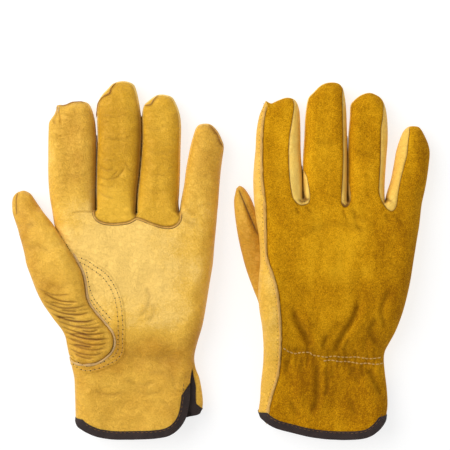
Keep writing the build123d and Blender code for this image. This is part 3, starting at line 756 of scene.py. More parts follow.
class Strands:
    """Gathers small tubes, such as stitches and cord-like edges, into one mesh."""

    def __init__(self):
        self.points, self.faces = [], []

    def tube(self, path, normal, across, up, sink=0.0, sides=6):
        """One closed tube along a path; across and up are its half sizes at each point."""
        path = path - sink * normal
        tangent = np.gradient(path, axis=0)
        tangent /= np.maximum(np.linalg.norm(tangent, axis=1), 1e-9)[:, None]
        side = np.cross(tangent, normal)
        first = sum(len(p) for p in self.points)
        turn = np.linspace(0, 2 * math.pi, sides, endpoint=False)
        rings = path[:, None] + (
            side[:, None] * (np.cos(turn)[None, :] * across[:, None])[..., None]
            + normal[:, None] * (np.sin(turn)[None, :] * up[:, None])[..., None]
        )
        self.points.append(rings.reshape(-1, 3))
        n = len(path)
        for i in range(n - 1):
            for j in range(sides):
                a, b = first + i * sides + j, first + i * sides + (j + 1) % sides
                self.faces.append((a, a + sides, b + sides, b))
        self.faces.append(tuple(first + j for j in range(sides)))
        self.faces.append(tuple(first + (n - 1) * sides + j for j in reversed(range(sides))))

    def cord(self, skin, line, across, up, sink, seed):
        """An edge or ridge along a line on the skin, uneven, and tapering out at both ends."""
        path, normal = on_top(skin, resample(line, 0.8))
        t = np.linspace(0, 1, len(path))
        taper = np.clip(np.minimum(t, 1 - t) * len(path) / 4, 0.15, 1)
        uneven = 1 + 0.15 * ripple(path[:, :2], 7, seed)
        self.tube(path, normal, across * taper * uneven, up * taper * uneven, sink, 8)

    def stitches(self, skin, line, pitch, length, radius, sink=0.0):
        """A row of single stitches, each a short thread that dips into the leather at its ends."""
        line = np.asarray(line, float)
        along = np.concatenate([[0], np.cumsum(np.linalg.norm(np.diff(line, axis=0), axis=1))])
        at = np.arange(pitch / 2, along[-1] - pitch / 3, pitch)
        parts = np.array([-0.5, -0.3, 0, 0.3, 0.5])
        spots = at[:, None] + parts * length * RNG.uniform(0.85, 1.1, (len(at), 1))
        places = np.stack([np.interp(spots, along, line[:, k]) for k in (0, 1)], 2)
        places += RNG.normal(0, 0.09, (len(at), 1, 2))
        paths, normals = on_top(skin, places.reshape(-1, 2))
        dip = np.array([-0.3, 0.05, 0.16, 0.05, -0.3]) * radius * 2
        wide = np.array([0.5, 0.95, 1, 0.95, 0.5]) * radius
        high = np.array([0.4, 0.8, 1, 0.8, 0.4]) * radius
        for path, normal in zip(paths.reshape(-1, 5, 3), normals.reshape(-1, 5, 3)):
            self.tube(path + normal * dip[:, None], normal, wide, high, sink)

    def made(self, name):
        return new_mesh(name, np.vstack(self.points), self.faces)


# ---- Materials -----------------------------------------------------------------------------------
def linear(colour):
    """A display colour, 0 to 255, as the linear one a shader takes."""
    c = np.array(colour, float) / 255
    c = np.where(c <= 0.04045, c / 12.92, ((c + 0.055) / 1.055) ** 2.4)
    return (*c.tolist(), 1.0)


class Shader:
    """A material built from nodes over the rest position in mm."""

    def __init__(self, name, roughness, sheen, sheen_tint=(1, 1, 1, 1), ior=1.45):
        self.made = bpy.data.materials.new(name)
        self.made.use_nodes = True
        self.nodes, self.links = self.made.node_tree.nodes, self.made.node_tree.links
        self.bsdf = self.nodes["Principled BSDF"]
        settings = {"Roughness": roughness, "IOR": ior, "Sheen Weight": sheen, "Sheen Roughness": 0.5,
                    "Sheen Tint": sheen_tint}
        for key, value in settings.items():
            self.bsdf.inputs[key].default_value = value
        self.rest = self.attribute("rest").outputs["Vector"]

    def attribute(self, name):
        node = self.nodes.new("ShaderNodeAttribute")
        node.attribute_name = name
        return node

    def value(self, name):
        """A number that the mesh carries at each of its points."""
        return self.attribute(name).outputs["Fac"]

    def texture(self, kind, stretch=None, **values):
        """A texture node over the rest position, which a stretch scales along each axis."""
        vector = self.rest
        if stretch:
            scaled = self.nodes.new("ShaderNodeVectorMath")
            scaled.operation = "MULTIPLY"
            self.links.new(vector, scaled.inputs[0])
            scaled.inputs[1].default_value = stretch
            vector = scaled.outputs[0]
        node = self.nodes.new(f"ShaderNodeTex{kind}")
        for key, value in values.items():
            node.inputs[key].default_value = value
        self.links.new(vector, node.inputs["Vector"])
        return node

    def noise(self, scale, detail=3.0, rough=0.55, stretch=None, distortion=0.0):
        """Cloudy noise, 0 to 1."""
        values = {"Scale": scale, "Detail": detail, "Roughness": rough, "Distortion": distortion}
        return self.texture("Noise", stretch, **values).outputs["Fac"]

    def cells(self, scale):
        """The distance to the nearest of many scattered points, for pores."""
        return self.texture("Voronoi", Scale=scale).outputs["Distance"]

    def wave(self, scale, direction, distortion):
        """Wavy stripes, 0 to 1."""
        node = self.texture("Wave", Scale=scale, Distortion=distortion)
        node.bands_direction = direction
        return node.outputs["Fac"]

    def math(self, operation, a, b=0.5, clamp=False):
        """Two values, each a number or a node's output, put through one operation."""
        node = self.nodes.new("ShaderNodeMath")
        node.operation = operation
        node.use_clamp = clamp
        for socket, value in zip(node.inputs, (a, b)):
            if isinstance(value, (int, float)):
                socket.default_value = value
            else:
                self.links.new(value, socket)
        return node.outputs[0]

    def total(self, *parts):
        """The sum of the parts, each a value or a pair of a value and its weight."""
        terms = [self.math("MULTIPLY", *p) if isinstance(p, tuple) else p for p in parts]
        result = terms[0]
        for term in terms[1:]:
            result = self.math("ADD", result, term)
        return result

    def ramp(self, value, stops):
        """The colour at a value, from stops that each have a place and a colour."""
        node = self.nodes.new("ShaderNodeValToRGB")
        ramp = node.color_ramp
        while len(ramp.elements) < len(stops):
            ramp.elements.new(0.5)
        for element, (at, colour) in zip(ramp.elements, stops):
            element.position = at
            element.color = linear(colour)
        self.links.new(value, node.inputs["Fac"])
        return node.outputs["Color"]

    def towards(self, amount, colour, deep):
        """The colour, mixed with the deep one by an amount from 0 to 1."""
        node = self.nodes.new("ShaderNodeMix")
        node.data_type = "RGBA"
        self.links.new(self.math("MULTIPLY", amount, 1.0, True), node.inputs["Factor"])
        self.links.new(colour, node.inputs[6])
        node.inputs[7].default_value = linear(deep)
        return node.outputs[2]

    def finish(self, colour, height, depth_mm):
        """Wires the colour and a bump whose height runs over the given depth."""
        self.links.new(colour, self.bsdf.inputs["Base Color"])
        bump = self.nodes.new("ShaderNodeBump")
        bump.inputs["Distance"].default_value = depth_mm / 1000
        bump.inputs["Strength"].default_value = 1.0
        self.links.new(height, bump.inputs["Height"])
        self.links.new(bump.outputs["Normal"], self.bsdf.inputs["Normal"])
        return self.made

    def striped(self, weave, blotch, dark, light, depth_mm):
        """Finishes a material whose weave is both its colour and its bump."""
        colour = self.ramp(self.total((weave, 0.5), (blotch, 0.5)), [(0.25, dark), (0.75, light)])
        return self.finish(colour, weave, depth_mm)


def leather(name, dark, middle, light, deep, roughness=0.52):
    """Soft grain leather: blotches, mottling, pores and fine wrinkles; deep is the colour of the shade
    painted in its creases.
    """
    s = Shader(name, roughness, 0.02, ior=1.34)
    blotch, mottle, fine = s.noise(0.022, 3, 0.55), s.noise(0.1, 3, 0.5), s.noise(1.1, 4, 0.65)
    # the attribute carries the leather's own tone together with painted highlight and shade
    tone = s.total((blotch, 0.3), (mottle, 0.16), (fine, 0.3), 0.12, (s.value("tone"), 0.15))
    colour = s.ramp(tone, [(0.33, dark), (0.5, middle), (0.63, light)])
    lines = s.math("ABSOLUTE", s.math("SUBTRACT", s.noise(0.23, 5, 0.6, (1, 1.5, 1), 1.2), 0.5))
    lines = s.math("MULTIPLY", lines, 16.0, True)
    colour = s.towards(s.math("MULTIPLY", s.math("SUBTRACT", 1.0, lines), 0.05), colour, deep)
    # painted shade: the colour pulled towards deep in creases, seams and between the fingers
    colour = s.towards(s.value("crease"), colour, deep)
    height = s.total((lines, 0.14), (s.cells(0.95), 0.16), (fine, 0.15), (s.noise(0.25, 2, 0.45), 0.55))
    return s.finish(colour, height, 1.0)


def suede(name, dark, middle, light, deep):
    """Split leather: a speckled nap, brushed lighter and darker in patches."""
    s = Shader(name, 0.96, 0.05, linear((236, 180, 40)), 1.18)
    brushed, fibres = s.noise(0.045, 4, 0.62, (1.2, 0.7, 1)), s.noise(2.6, 2, 0.7, (1, 0.35, 1))
    nap, speck = s.noise(0.35, 5, 0.7), s.noise(1.15, 4, 0.8)
    tone = s.total((brushed, 0.22), (nap, 0.16), (speck, 0.42), (fibres, 0.2), (s.value("tone"), 0.09))
    colour = s.ramp(tone, [(0.41, dark), (0.5, middle), (0.59, light)])
    # painted shade: the suede's colour pulled towards deep in its creases and seams
    colour = s.towards(s.value("crease"), colour, deep)
    return s.finish(colour, s.total((speck, 0.5), (fibres, 0.2), (nap, 0.3)), 0.9)


def tape(name, dark, light):
    """Woven binding tape."""
    s = Shader(name, 0.78, 0.08)
    weave = s.math("MULTIPLY", s.wave(0.55, "DIAGONAL", 1.2), s.wave(0.5, "Y", 1.5))
    return s.striped(weave, s.noise(0.2, 4), dark, light, 0.25)


def plain_thread(name, dark, light, roughness=0.7):
    """Twisted sewing thread."""
    s = Shader(name, roughness, 0.1)
    return s.striped(s.wave(0.8, "DIAGONAL", 2.0), s.noise(0.3, 3), dark, light, 0.15)


MATERIALS = {
    "palm": leather("palm_leather_look", (206, 148, 36), (240, 187, 66), (255, 210, 110), (124, 78, 12)),
    "finger": leather("finger_leather_look", (188, 130, 14), (216, 160, 28), (238, 184, 50), (112, 68, 8)),
    "suede": suede("suede_look", (150, 94, 2), (202, 141, 6), (236, 176, 26), (92, 52, 2)),
    # partly painted light: the pale strips' own colour, made brighter still because they face sideways,
    # away from the light
    "fourchette": leather(
        "fourchette_leather_look", (238, 184, 72), (255, 208, 94), (255, 220, 118), (140, 92, 24)
    ),
    "raw": leather("raw_edge_look", (188, 146, 84), (212, 174, 114), (234, 202, 150), (140, 96, 44), 0.9),
    "gold_edge": leather(
        "gold_edge_look", (190, 138, 56), (218, 168, 84), (236, 194, 112), (140, 96, 44), 0.9
    ),
    "tip_edge": leather("tip_edge_look", (140, 92, 34), (168, 118, 52), (200, 154, 86), (96, 58, 20), 0.9),
    "tape": tape("binding_tape_look", (34, 22, 20), (74, 54, 50)),
    "elastic": tape("elastic_look", (186, 180, 166), (220, 216, 204)),
    "thread": plain_thread("cream_thread_look", (200, 156, 76), (228, 190, 112)),
    # used both for dark stitches and for thin dark lines painted along seams as their shadow
    "dark_thread_and_shadow_line": plain_thread("brown_thread_look", (96, 62, 14), (132, 90, 30)),
    # painted shade: dark dots standing in for the shade inside the needle holes
    "hole": plain_thread("needle_hole_look", (44, 26, 6), (70, 44, 14), 0.9),
}


# ---- Putting the pieces on the model ---------------------------------------------------------------
def attach(obj, glove, part, look, replaces=None):
    """Gives a piece its material, makes a piece of the hand move with the hand, and bakes a finger's or the
    thumb's piece in place.
    """
    obj.data.materials.append(MATERIALS[look])
    g = glove.name
    if part == "hand":
        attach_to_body(obj, f"{g}_hand")
    elif part == "thumb":
        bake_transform(obj)
    else:
        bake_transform(obj)
    if replaces:
        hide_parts(f"{g}_{replaces}")


def add_strands(strands, name, glove, part, look):
    """Puts a mesh of stitches or edges on the glove, if it has any."""
    if strands.points:
        attach(strands.made(f"{glove.name}_{name}"), glove, part, look)


def add_on_hand(glove, node, faces, lift, thickness, look):
    """A part of the skin that is raised or sunk, in place of one model node on the hand."""
    obj = panel(f"{glove.name}_{node}_skin", glove, faces, lift, thickness)
    attach(obj, glove, "hand", look, node)


def wall_name(glove, finger, side):
    """The side wall of a finger that faces -X (side -1) or +X (side 1)."""
    if finger in ("index", "little"):
        return f"{finger}_fourchette"
    inner, outer = (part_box(f"{glove.name}_{finger}_fourchette_{k}")[0].x for k in ("inner", "outer"))
    return f"{finger}_fourchette_" + ("inner" if (inner < outer) == (side < 0) else "outer")


class Labels:
    """Names the panel that each triangle of a sheet belongs to."""

    def __init__(self, glove, sheet, finger_panel, hand_panel):
        self.glove, self.sheet = glove, sheet
        self.mid = glove.xy[glove.flat[sheet]].mean(1)
        self.edge = distance(self.mid, glove.side)[0]
        self.who = glove.finger_of(self.mid)
        self.out = glove.outward(self.mid, self.who)
        self.names = np.full(len(self.mid), hand_panel, dtype="<U32")
        for n, f in enumerate(FINGERS):
            self.names[self.who == n] = f"{f}_{finger_panel}"

    def inside(self, ring):
        return inside(self.mid, np.asarray(ring, float))

    def walls(self, depth, outer_panel, hand_panel):
        """The strip along the outline: side walls between fingers, the wrapped front elsewhere."""
        strip = self.edge < depth
        for n, f in enumerate(FINGERS):
            for side in (-1, 1):
                name = wall_name(self.glove, f, side) if side in WALLED[f] else f"{f}_{outer_panel}"
                self.names[strip & (self.who == n) & (self.out == side)] = name
        hand = strip & (self.who < 0)
        self.names[hand] = hand_panel
        reach = np.sqrt(((self.mid[:, None] - self.glove.crotches[None]) ** 2).sum(2))
        for k, fork in enumerate(FORKS):
            self.names[hand & (reach[:, k] < FORK_REACH)] = fork

    def gunn(self, seam):
        """The part of the middle and ring fronts that reaches down over the palm."""
        ring = np.vstack([seam, [(seam[-1][0], seam[-1][1] + 12), (seam[0][0], seam[0][1] + 12)]])
        here = self.inside(ring) & (self.who < 0) & ~np.isin(self.names, FORKS)
        left = self.mid[:, 0] < self.glove.crotches[1][0]
        self.names[here & left] = "middle_front"
        self.names[here & ~left] = "ring_front"

    def pale(self, ring):
        """A visible side wall region: walls above the split, a fork below it."""
        here = self.inside(ring)
        for n, f in enumerate(FINGERS):
            for side in WALLED[f]:
                self.names[here & (self.who == n) & (self.out == side)] = wall_name(self.glove, f, side)
        hand = here & (self.who < 0)
        if hand.any():
            middle = self.mid[hand].mean(0)
            self.names[hand] = FORKS[int(((self.glove.crotches - middle) ** 2).sum(1).argmin())]

    def trimmed(self):
        """Leaves out the last millimetre before a bound edge, which the tape wraps."""
        on_tape = inside(self.mid, self.glove.tape[self.sheet])
        self.names[on_tape & (distance(self.mid, self.glove.bound[self.sheet])[0] < 1.0)] = ""


def add_binding(glove):
    """The tape folded over the cuff's edge: a band of the skin, raised on both faces and rounded."""
    n = len(glove.xy)
    near = np.full(len(glove.points), 50.0)
    faces = []
    for k, (sheet, cuff) in enumerate(glove.bound.items()):
        gap = distance(glove.xy, cuff)[0]
        near[k * n : (k + 1) * n] = gap
        if sheet == "bottom":
            near[:n] = np.minimum(near[:n], np.where(glove.edge < WELD, gap, 50))
        mid = glove.xy[glove.flat[sheet]].mean(1)
        faces.append(glove.faces[sheet][inside(mid, glove.tape[sheet])])
    lift = TAPE_RISE * np.sqrt(np.clip(1 - (1 - np.minimum(near, 1)) ** 2, 0.02, 1))
    lift *= 1 - 0.35 * ramp(near, BINDING - 1.0, BINDING)
    lift += 0.06 * ripple(glove.points[:, :2], 5, 12) * (near > 0.8)
    depth = lift + LEATHER + TAPE_THICKNESS
    add_on_hand(glove, "hem_binding", np.vstack(faces), lift, depth, "tape")


def kind_of(name):
    """The leather a panel is cut from."""
    if name.endswith("fork") or "fourchette" in name:
        return "fourchette"
    if name.endswith("back"):
        return "suede"
    return "finger" if name in ("middle_front", "ring_front") else "palm"


def part_of(name):
    """The finger a panel belongs to, or the hand."""
    first = name.split("_")[0]
    return first if first in FINGERS and not name.endswith("fork") else "hand"


def add_panels(glove, labels):
    """Every panel that the labels of the glove's sheets name."""
    for name in sorted({n for l in labels for n in np.unique(l.names) if n}):
        faces = np.vstack([glove.faces[l.sheet][l.names == name] for l in labels])
        kind = kind_of(name)
        obj = panel(f"{glove.name}_{name}_skin", glove, faces)
        attach(obj, glove, part_of(name), kind, name)


def add_elastic(glove, labels, low, high):
    """The band of elastic inside the wrist, between two values of y."""
    band = (labels.mid[:, 1] > low) & (labels.mid[:, 1] < high) & (labels.edge > 6)
    faces = glove.faces[labels.sheet][band]
    add_on_hand(glove, "wrist_elastic", faces, -LEATHER - 0.1, ELASTIC_THICKNESS, "elastic")


def add_thumb(glove, shape, marks):
    """A thumb's two panels, each with the part that stays on the hand as a piece of its own."""
    thumb = Thumb(glove, shape, marks)
    thumb.build()
    sides = ("front", "back") if glove.name == "left" else ("back", "front")
    for sheet, side in zip(("top", "bottom"), sides):
        beyond = thumb.beyond[sheet]
        pieces = ("hand", ~beyond, f"thumb_root_{side}"), ("thumb", beyond, f"thumb_{side}")
        for part, rows, node in pieces:
            obj = panel(f"{glove.name}_{node}_skin", thumb, thumb.faces[sheet][rows])
            attach(obj, glove, part, "palm", node)
    return thumb


def split_by_bend(glove, line):
    """A line's part on the hand and its part on the fingers, as (part, points) pairs."""
    line = resample(line, 0.8)
    who = glove.finger_of(line)
    runs, start = [], 0
    for i in range(1, len(line) + 1):
        if i == len(line) or who[i] != who[start]:
            if i - start > 3:
                part = "hand" if who[start] < 0 else FINGERS[who[start]]
                runs.append((part, line[start : min(i + 1, len(line))]))
            start = i
    return runs


def seam_work(glove, lines, look, name, across, up, sink=0.0, offset=0.0):
    """A thread or raw edge along seams, in one mesh for the hand and one for each finger."""
    made = {}
    for k, line in enumerate(lines):
        for moved in beside(line, offset) if offset else [line]:
            for part, run in split_by_bend(glove, moved):
                made.setdefault(part, Strands()).cord(glove, run, across, up, sink, 20 + k)
    for part, strands in made.items():
        add_strands(strands, f"{name}_{part}", glove, part, look)


def side_ridge(glove, finger, low, high):
    """The raw edges of the side seam, standing out under the fold towards the next finger."""
    ring = glove.rings[finger]
    right_half = glove.outward(ring, np.full(len(ring), FINGERS.index(finger))) > 0
    line = np.vstack(beside(ring[(ring[:, 1] > low) & (ring[:, 1] < high) & right_half], -0.25))
    height = glove.build_shape(line)[1] - 2.6
    size = np.full(len(line), 0.38)
    size[[0, -1]] = 0.1
    strands = Strands()
    upright = np.tile([0.0, 0.0, 1.0], (len(line), 1))
    strands.tube(np.column_stack([line + glove.origin, height]), upright, size, size)
    add_strands(strands, f"{finger}_side_ridge", glove, finger, "tip_edge")


def folds(groups):
    """Marks for folds given in groups, each fold a little different from the next."""
    marks = []
    for seed, depth, width, dark, rows in groups:
        vary = np.random.default_rng(seed).uniform
        for line in rows:
            size = depth * vary(0.7, 1.25), width * vary(0.8, 1.25), dark * vary(0.7, 1.2)
            marks.append((smooth(line), *size))
    return marks


# ---- The left glove --------------------------------------------------------------------------------
# The folds of each glove come in groups: seed, depth, width, how dark the painted shade in them is, and the
# folds' points.
LEFT_FOLDS = [
    # Creases at the fingers' bases and tips
    (31, 0.5, 0.7, 0.26, [
        [(-46, 33.3), (-38, 34.6), (-29.7, 34)], [(44, 37.5), (49, 39.6), (54, 40.4)],
        [(-27.6, 60.3), (-22, 57.9), (-18, 58.2), (-12.3, 64.4)], [(-18, 57), (-12, 60), (-8, 66)],
        [(-59.5, 91.5), (-54, 88.4), (-47, 89.4)], [(-62, 89), (-57, 86.4), (-50, 86.2)],
        [(-27.5, 50), (-22, 46), (-16, 44)], [(-26, 54), (-20, 52), (-15, 53)],
        [(-8, 70), (-4, 64), (0, 62)], [(-27, 68), (-21, 64), (-16, 65)]]),
    # Soft hollows above the wrist
    (32, 1.4, 5.5, 0.12, [
        [(-12, -64), (0, -69), (14, -70), (30, -66)], [(14, -74), (22, -71), (34, -73)]]),
    # Wrinkles of the palm
    (33, 0.35, 1.3, 0.24, [
        [(7, -18), (10, -25), (8, -33), (3, -39)], [(12, -30), (13, -37), (9, -43)],
        [(-8, -84), (4, -88), (14, -86)], [(-4, -91), (9, -94), (18, -92)],
        [(16, -98), (24, -104), (29, -112)], [(22, -76), (27, -84), (28, -92)],
        [(-30, -92), (-18, -95), (-8, -93)], [(8, -80), (16, -79), (24, -82)],
        [(33, 44), (37, 36), (44, 31)], [(31, 34), (36, 28), (43, 25)]]),
    # Faint creases across the fingers
    (34, 0.2, 1.0, 0.13, [
        [(-50, 62), (-42, 60), (-33, 62)], [(-24, 88), (-12, 86), (-2, 88)],
        [(8, 78), (17, 76), (28, 78)], [(42, 62), (49, 60), (56, 63)], [(-24, 72), (-14, 70)],
        [(-52, 76), (-40, 74)], [(10, 60), (22, 61)], [(6, 96), (14, 93), (22, 96)],
        [(24, 70), (27, 62), (26, 54)], [(7, 52), (14, 48), (22, 50)],
        [(-24, 104), (-14, 102), (-4, 105)]]),
]
INDEX_TIP_FOLDS = [
    (35, 1.0, 0.9, 0.5, [
        [(-57.4, 109.5), (-57.2, 104), (-59, 100), (-57.6, 96.5)],
        [(-55.6, 108), (-54.2, 102), (-53.6, 97)]]),
]

left = Glove(LEFT)
gunn = gunn_seam(LEFT)
oval = smooth(OVAL)
divider = smooth([tuple(left.crotches[1]), (0.4, 31)])
patch_edge = smooth([
    (-44.5, 5.6), (-41, 4.4), (-33.5, 1.8), (-27, -2.4), (-19.7, -8), (-15, -14.4), (-11.3, -21.9),
    (-8.7, -30.3), (-7.7, -39.6), (-7.4, -48), (-7.7, -56), (-8.3, -64.6), (-11.8, -70.4), (-17.5, -74.1),
    (-25.8, -77.8), (-34.2, -79.4), (-40.9, -77.9), (-46.5, -74)])
tips = [smooth(line) for line in (
    [(-28.4, 101), (-27, 111.5), (-23.8, 116), (-18.8, 118.8), (-17.6, 122.6), (-14.2, 127)],
    [(5.6, 109.8), (10.6, 110.9), (12.2, 113.6), (15.8, 118)],
    [(50.9, 97), (54.6, 92.8), (57.4, 88.9), (58.7, 84.8), (61.4, 80.4)],
    [(-54.6, 110.2), (-50.6, 110.5), (-46, 112.3), (-40, 112.8), (-36.6, 111.9)])]
left.marks = folds(LEFT_FOLDS)
# seams as grooves, with painted shade in them, here and at the fingertips below
left.marks += [(gunn, 0.6, 0.7, 0.8), (oval, 0.4, 0.8, 0.8), (divider, 0.5, 0.8, 0.6)]
left.marks += folds(INDEX_TIP_FOLDS)
left.marks += [(tip, 0.5, 0.8, 0.7) for tip in tips]
left.build([gunn, divider, oval, patch_edge])

top = Labels(left, "top", "front", "palm")
top.walls(UPPER_WALL["left"], "front", "palm")
top.gunn(gunn)
under_thumb = top.inside(smooth(LEFT_THUMB["outline"])) & (distance(top.mid, oval)[0] > 1.6)
top.names[under_thumb] = ""
top.trimmed()
bottom = Labels(left, "bottom", "back", "back")
bottom.walls(LOWER_WALL, "front", "palm")
bottom.trimmed()
flap = Labels(left, "flap", "front", "palm")
flap.trimmed()
add_panels(left, [top, bottom, flap])
patch = left.faces["top"][top.inside(np.vstack([patch_edge, oval[::-1]]))]
add_on_hand(left, "thumb_patch", patch, lift=0.4, thickness=0.35, look="palm")
add_binding(left)
add_elastic(left, bottom, -72, -62)

# ---- The right glove -------------------------------------------------------------------------------
RIGHT_FOLDS = [
    # The two deep pleats above the wrist
    (41, 2.6, 1.8, 0.6, [
        [(-38.5, -34), (-36, -42), (-31, -51), (-26, -61)], [(8, -28), (4, -40), (-3, -52), (-9.5, -66)]]),
    # The forks' crumpled ends
    (61, 0.9, 0.75, 1.0, [
        [(-32, 50), (-30, 44), (-32, 41.5), (-34.5, 43)], [(-0.2, 49), (1.1, 43), (-1.6, 38.5), (-4, 41)],
        [(27.6, 50), (28.4, 44), (31.4, 41.2)], [(28.4, 44), (26, 40.8)], [(-30, 44), (-27.8, 42.6)]]),
    # Ridges, which stand up beside the pleats
    (47, -1.2, 3.2, 0.0, [
        [(-30, -38), (-25, -50), (-20, -60)], [(15, -28), (11, -40), (4, -52), (-2, -63)],
        [(-16, -76), (-15, -90), (-19, -104)], [(9, -76), (13, -90), (18, -102)],
        [(-33, -74), (-34, -90), (-32, -104)]]),
    # The two long pleats of the cuff
    (45, 2.2, 2.2, 0.5, [
        [(-21, -72), (-21.3, -86), (-21.5, -99), (-25, -108)], [(15, -76), (20, -86), (25, -96)]]),
    # Short pleats on both sides of the elastic
    (42, 1.05, 1.8, 0.42, [
        [(-42.5, -70), (-42.9, -79)], [(-15, -76), (-14, -88), (-16, -97)], [(5, -76), (8, -88)],
        [(2.2, -71), (2.6, -82)], [(-32, -68), (-33, -80)], [(-11, -70), (-10, -84)],
        [(10, -73), (11, -83)], [(21, -60), (16, -50), (20, -40)], [(-17, -62), (-15, -52)],
        [(-3, -64), (1, -55)], [(12, -64), (13, -54)], [(-40, -100), (-36, -108)], [(2, -98), (6, -110)],
        [(30, -20), (24, -34), (27, -48)]]),
    # Fine gathers under the stitches
    (43, 0.65, 1.2, 0.26, [
        [(x, -59 - y), (x + 0.6, -66 - y), (x - 0.4, -75 - y)]
        for x, y in ((-41, 0), (-36, 1), (-28.5, 1), (-24, 2), (-14, 3), (-6.5, 3), (-1, 3), (5.8, 4),
                     (14, 4), (19, 5), (24, 5))]),
    # Creases that run down from the forks
    (46, 0.7, 1.2, 0.3, [
        [(-3.5, 36), (-1.5, 31), (1, 28)], [(3, 36.5), (8, 30), (13, 27)], [(27, 33), (29.5, 27)],
        [(33.5, 33), (37, 28), (42, 26)], [(-36.5, 37.5), (-34, 32)], [(-29, 37), (-24, 33)],
        [(5, 33), (6.5, 25), (11, 20)]]),
    # Soft dents on the back and the fingers
    (44, 0.4, 2.2, 0.16, [
        [(-54, 62), (-44, 60)], [(-22, 84), (-8, 83)], [(6, 76), (20, 75)], [(48, 82), (54, 77), (53, 70)],
        [(51, 55), (51, 38), (50, 22), (48, 8)], [(-30, 20), (-10, 26), (12, 22)]]),
]

right = Glove(RIGHT)
wrap = smooth([
    (-57.2, 114.3), (-56.2, 110.5), (-57.2, 106.3), (-58.8, 98.1), (-59.6, 86.8), (-59.8, 73),
    (-59.8, 60.3), (-58.8, 49), (-57.9, 40.9), (-57.5, 28.7), (-57.2, 10.9), (-56.6, 2), (-53.9, -6),
    (-50.9, -15.1), (-48.8, -25.3), (-47.5, -37.6), (-46.8, -49.8), (-46.8, -60), (-47.3, -72.2),
    (-48.8, -82.5), (-51.9, -92.7), (-53.9, -99.8), (-55.6, -108), (-56.5, -115.6)])
index_wall = smooth([
    (-38.1, 115.8), (-37.4, 109.3), (-39.1, 98.1), (-40.9, 86.8), (-41.4, 74.6), (-41, 59.3), (-39.7, 48.1),
    (-37.9, 42.9), (-34.5, 39.6), (-30.9, 39.4), (-27.6, 41), (-26.7, 46.1), (-27.6, 53), (-28.6, 59),
    (-30.9, 64.5)])
middle_wall = smooth([
    (-2.2, 123.6), (-3.1, 115.4), (-2.9, 95), (-2.8, 74.6), (-3.4, 59.3), (-4.4, 46.1), (-4.3, 40.4),
    (-2, 38), (0.6, 39.4), (2, 42.6), (2.2, 47), (1.6, 54)])
ring_wall = smooth([
    (26.6, 113.2), (25.9, 105), (25.3, 100), (24.3, 94), (24.1, 84.8), (23.6, 69.5), (22.6, 56.3),
    (22.4, 48.1), (24.1, 42.6), (26.9, 37.9), (29.8, 35.4), (32.3, 35.4), (34.6, 38.9), (35.8, 47.1),
    (37.6, 56.3), (40.5, 67.5), (42.6, 75.6), (43.3, 82.8), (44.4, 89.6), (45.2, 95.6)])
right_gunn = gunn_seam(RIGHT)
right_divider = smooth([tuple(right.crotches[1]), (right.crotches[1][0], 38.2)])
upper_row = smooth([
    (-45.8, -61.5), (-39.6, -65.1), (-35.6, -65.6), (-31.5, -64.6), (-26.4, -64.9), (-24.4, -66.7),
    (-15.2, -68.2), (-9, -67.7), (0.1, -68.7), (5.3, -68.2), (15.5, -69.5), (26.6, -68.7)], ROW_STEP)
lower_row = smooth([
    (-17.2, -70.9), (-11, -70.6), (-4.9, -71.6), (2, -71.8), (8.3, -73.1), (14, -73), (20.5, -73.6),
    (26.8, -73)], ROW_STEP)
right.marks = [(upper_row, 1.5, 4.0, 0.12), (lower_row, 0.7, 3.0, 0.06)] + folds(RIGHT_FOLDS)
# the wrap seam and the side walls' seams as grooves, with painted shade in them
right.marks += [(wrap, 0.5, 0.65, 0.85)]
right.marks += [(line, 0.5, 0.65, 0.5) for line in (index_wall, middle_wall, ring_wall)]
right.build([wrap, index_wall, middle_wall, ring_wall, right_gunn, right_divider])

top = Labels(right, "top", "back", "back")
top.walls(UPPER_WALL["right"], "front", "palm")
top.names[np.isin(top.names, FORKS)] = "back"
left_of_wrap = top.inside(np.vstack([wrap, [(-90, -116), (-90, 120)]]))
top.names[left_of_wrap & (top.who == 0)] = "index_front"
top.names[left_of_wrap & (top.who < 0)] = "palm"
top.pale(np.vstack([index_wall, [(-31.7, 68), (-31.7, 128), (-38, 128)]]))
top.pale(np.vstack([middle_wall, [(1.1, 60), (1.2, 75), (1.1, 128), (-2, 128)]]))
top.pale(np.vstack([ring_wall, [(45, 128), (27, 128)]]))
top.trimmed()
bottom = Labels(right, "bottom", "front", "palm")
bottom.walls(LOWER_WALL, "front", "palm")
bottom.gunn(right_gunn)
bottom.trimmed()
add_panels(right, [top, bottom])
add_binding(right)
patch = bottom.edge > 4
patch &= bottom.inside([
    (-55, 14), (-44, 8), (-34, -6), (-24, -20), (-16, -34), (-13, -48), (-15, -62), (-24, -70), (-38, -73),
    (-50, -70), (-58, -60), (-63, -40), (-66, 0)])
patch = right.faces["bottom"][patch]
add_on_hand(right, "thumb_patch", patch, lift=0.9, thickness=0.85, look="palm")
add_elastic(right, top, -74, -64)

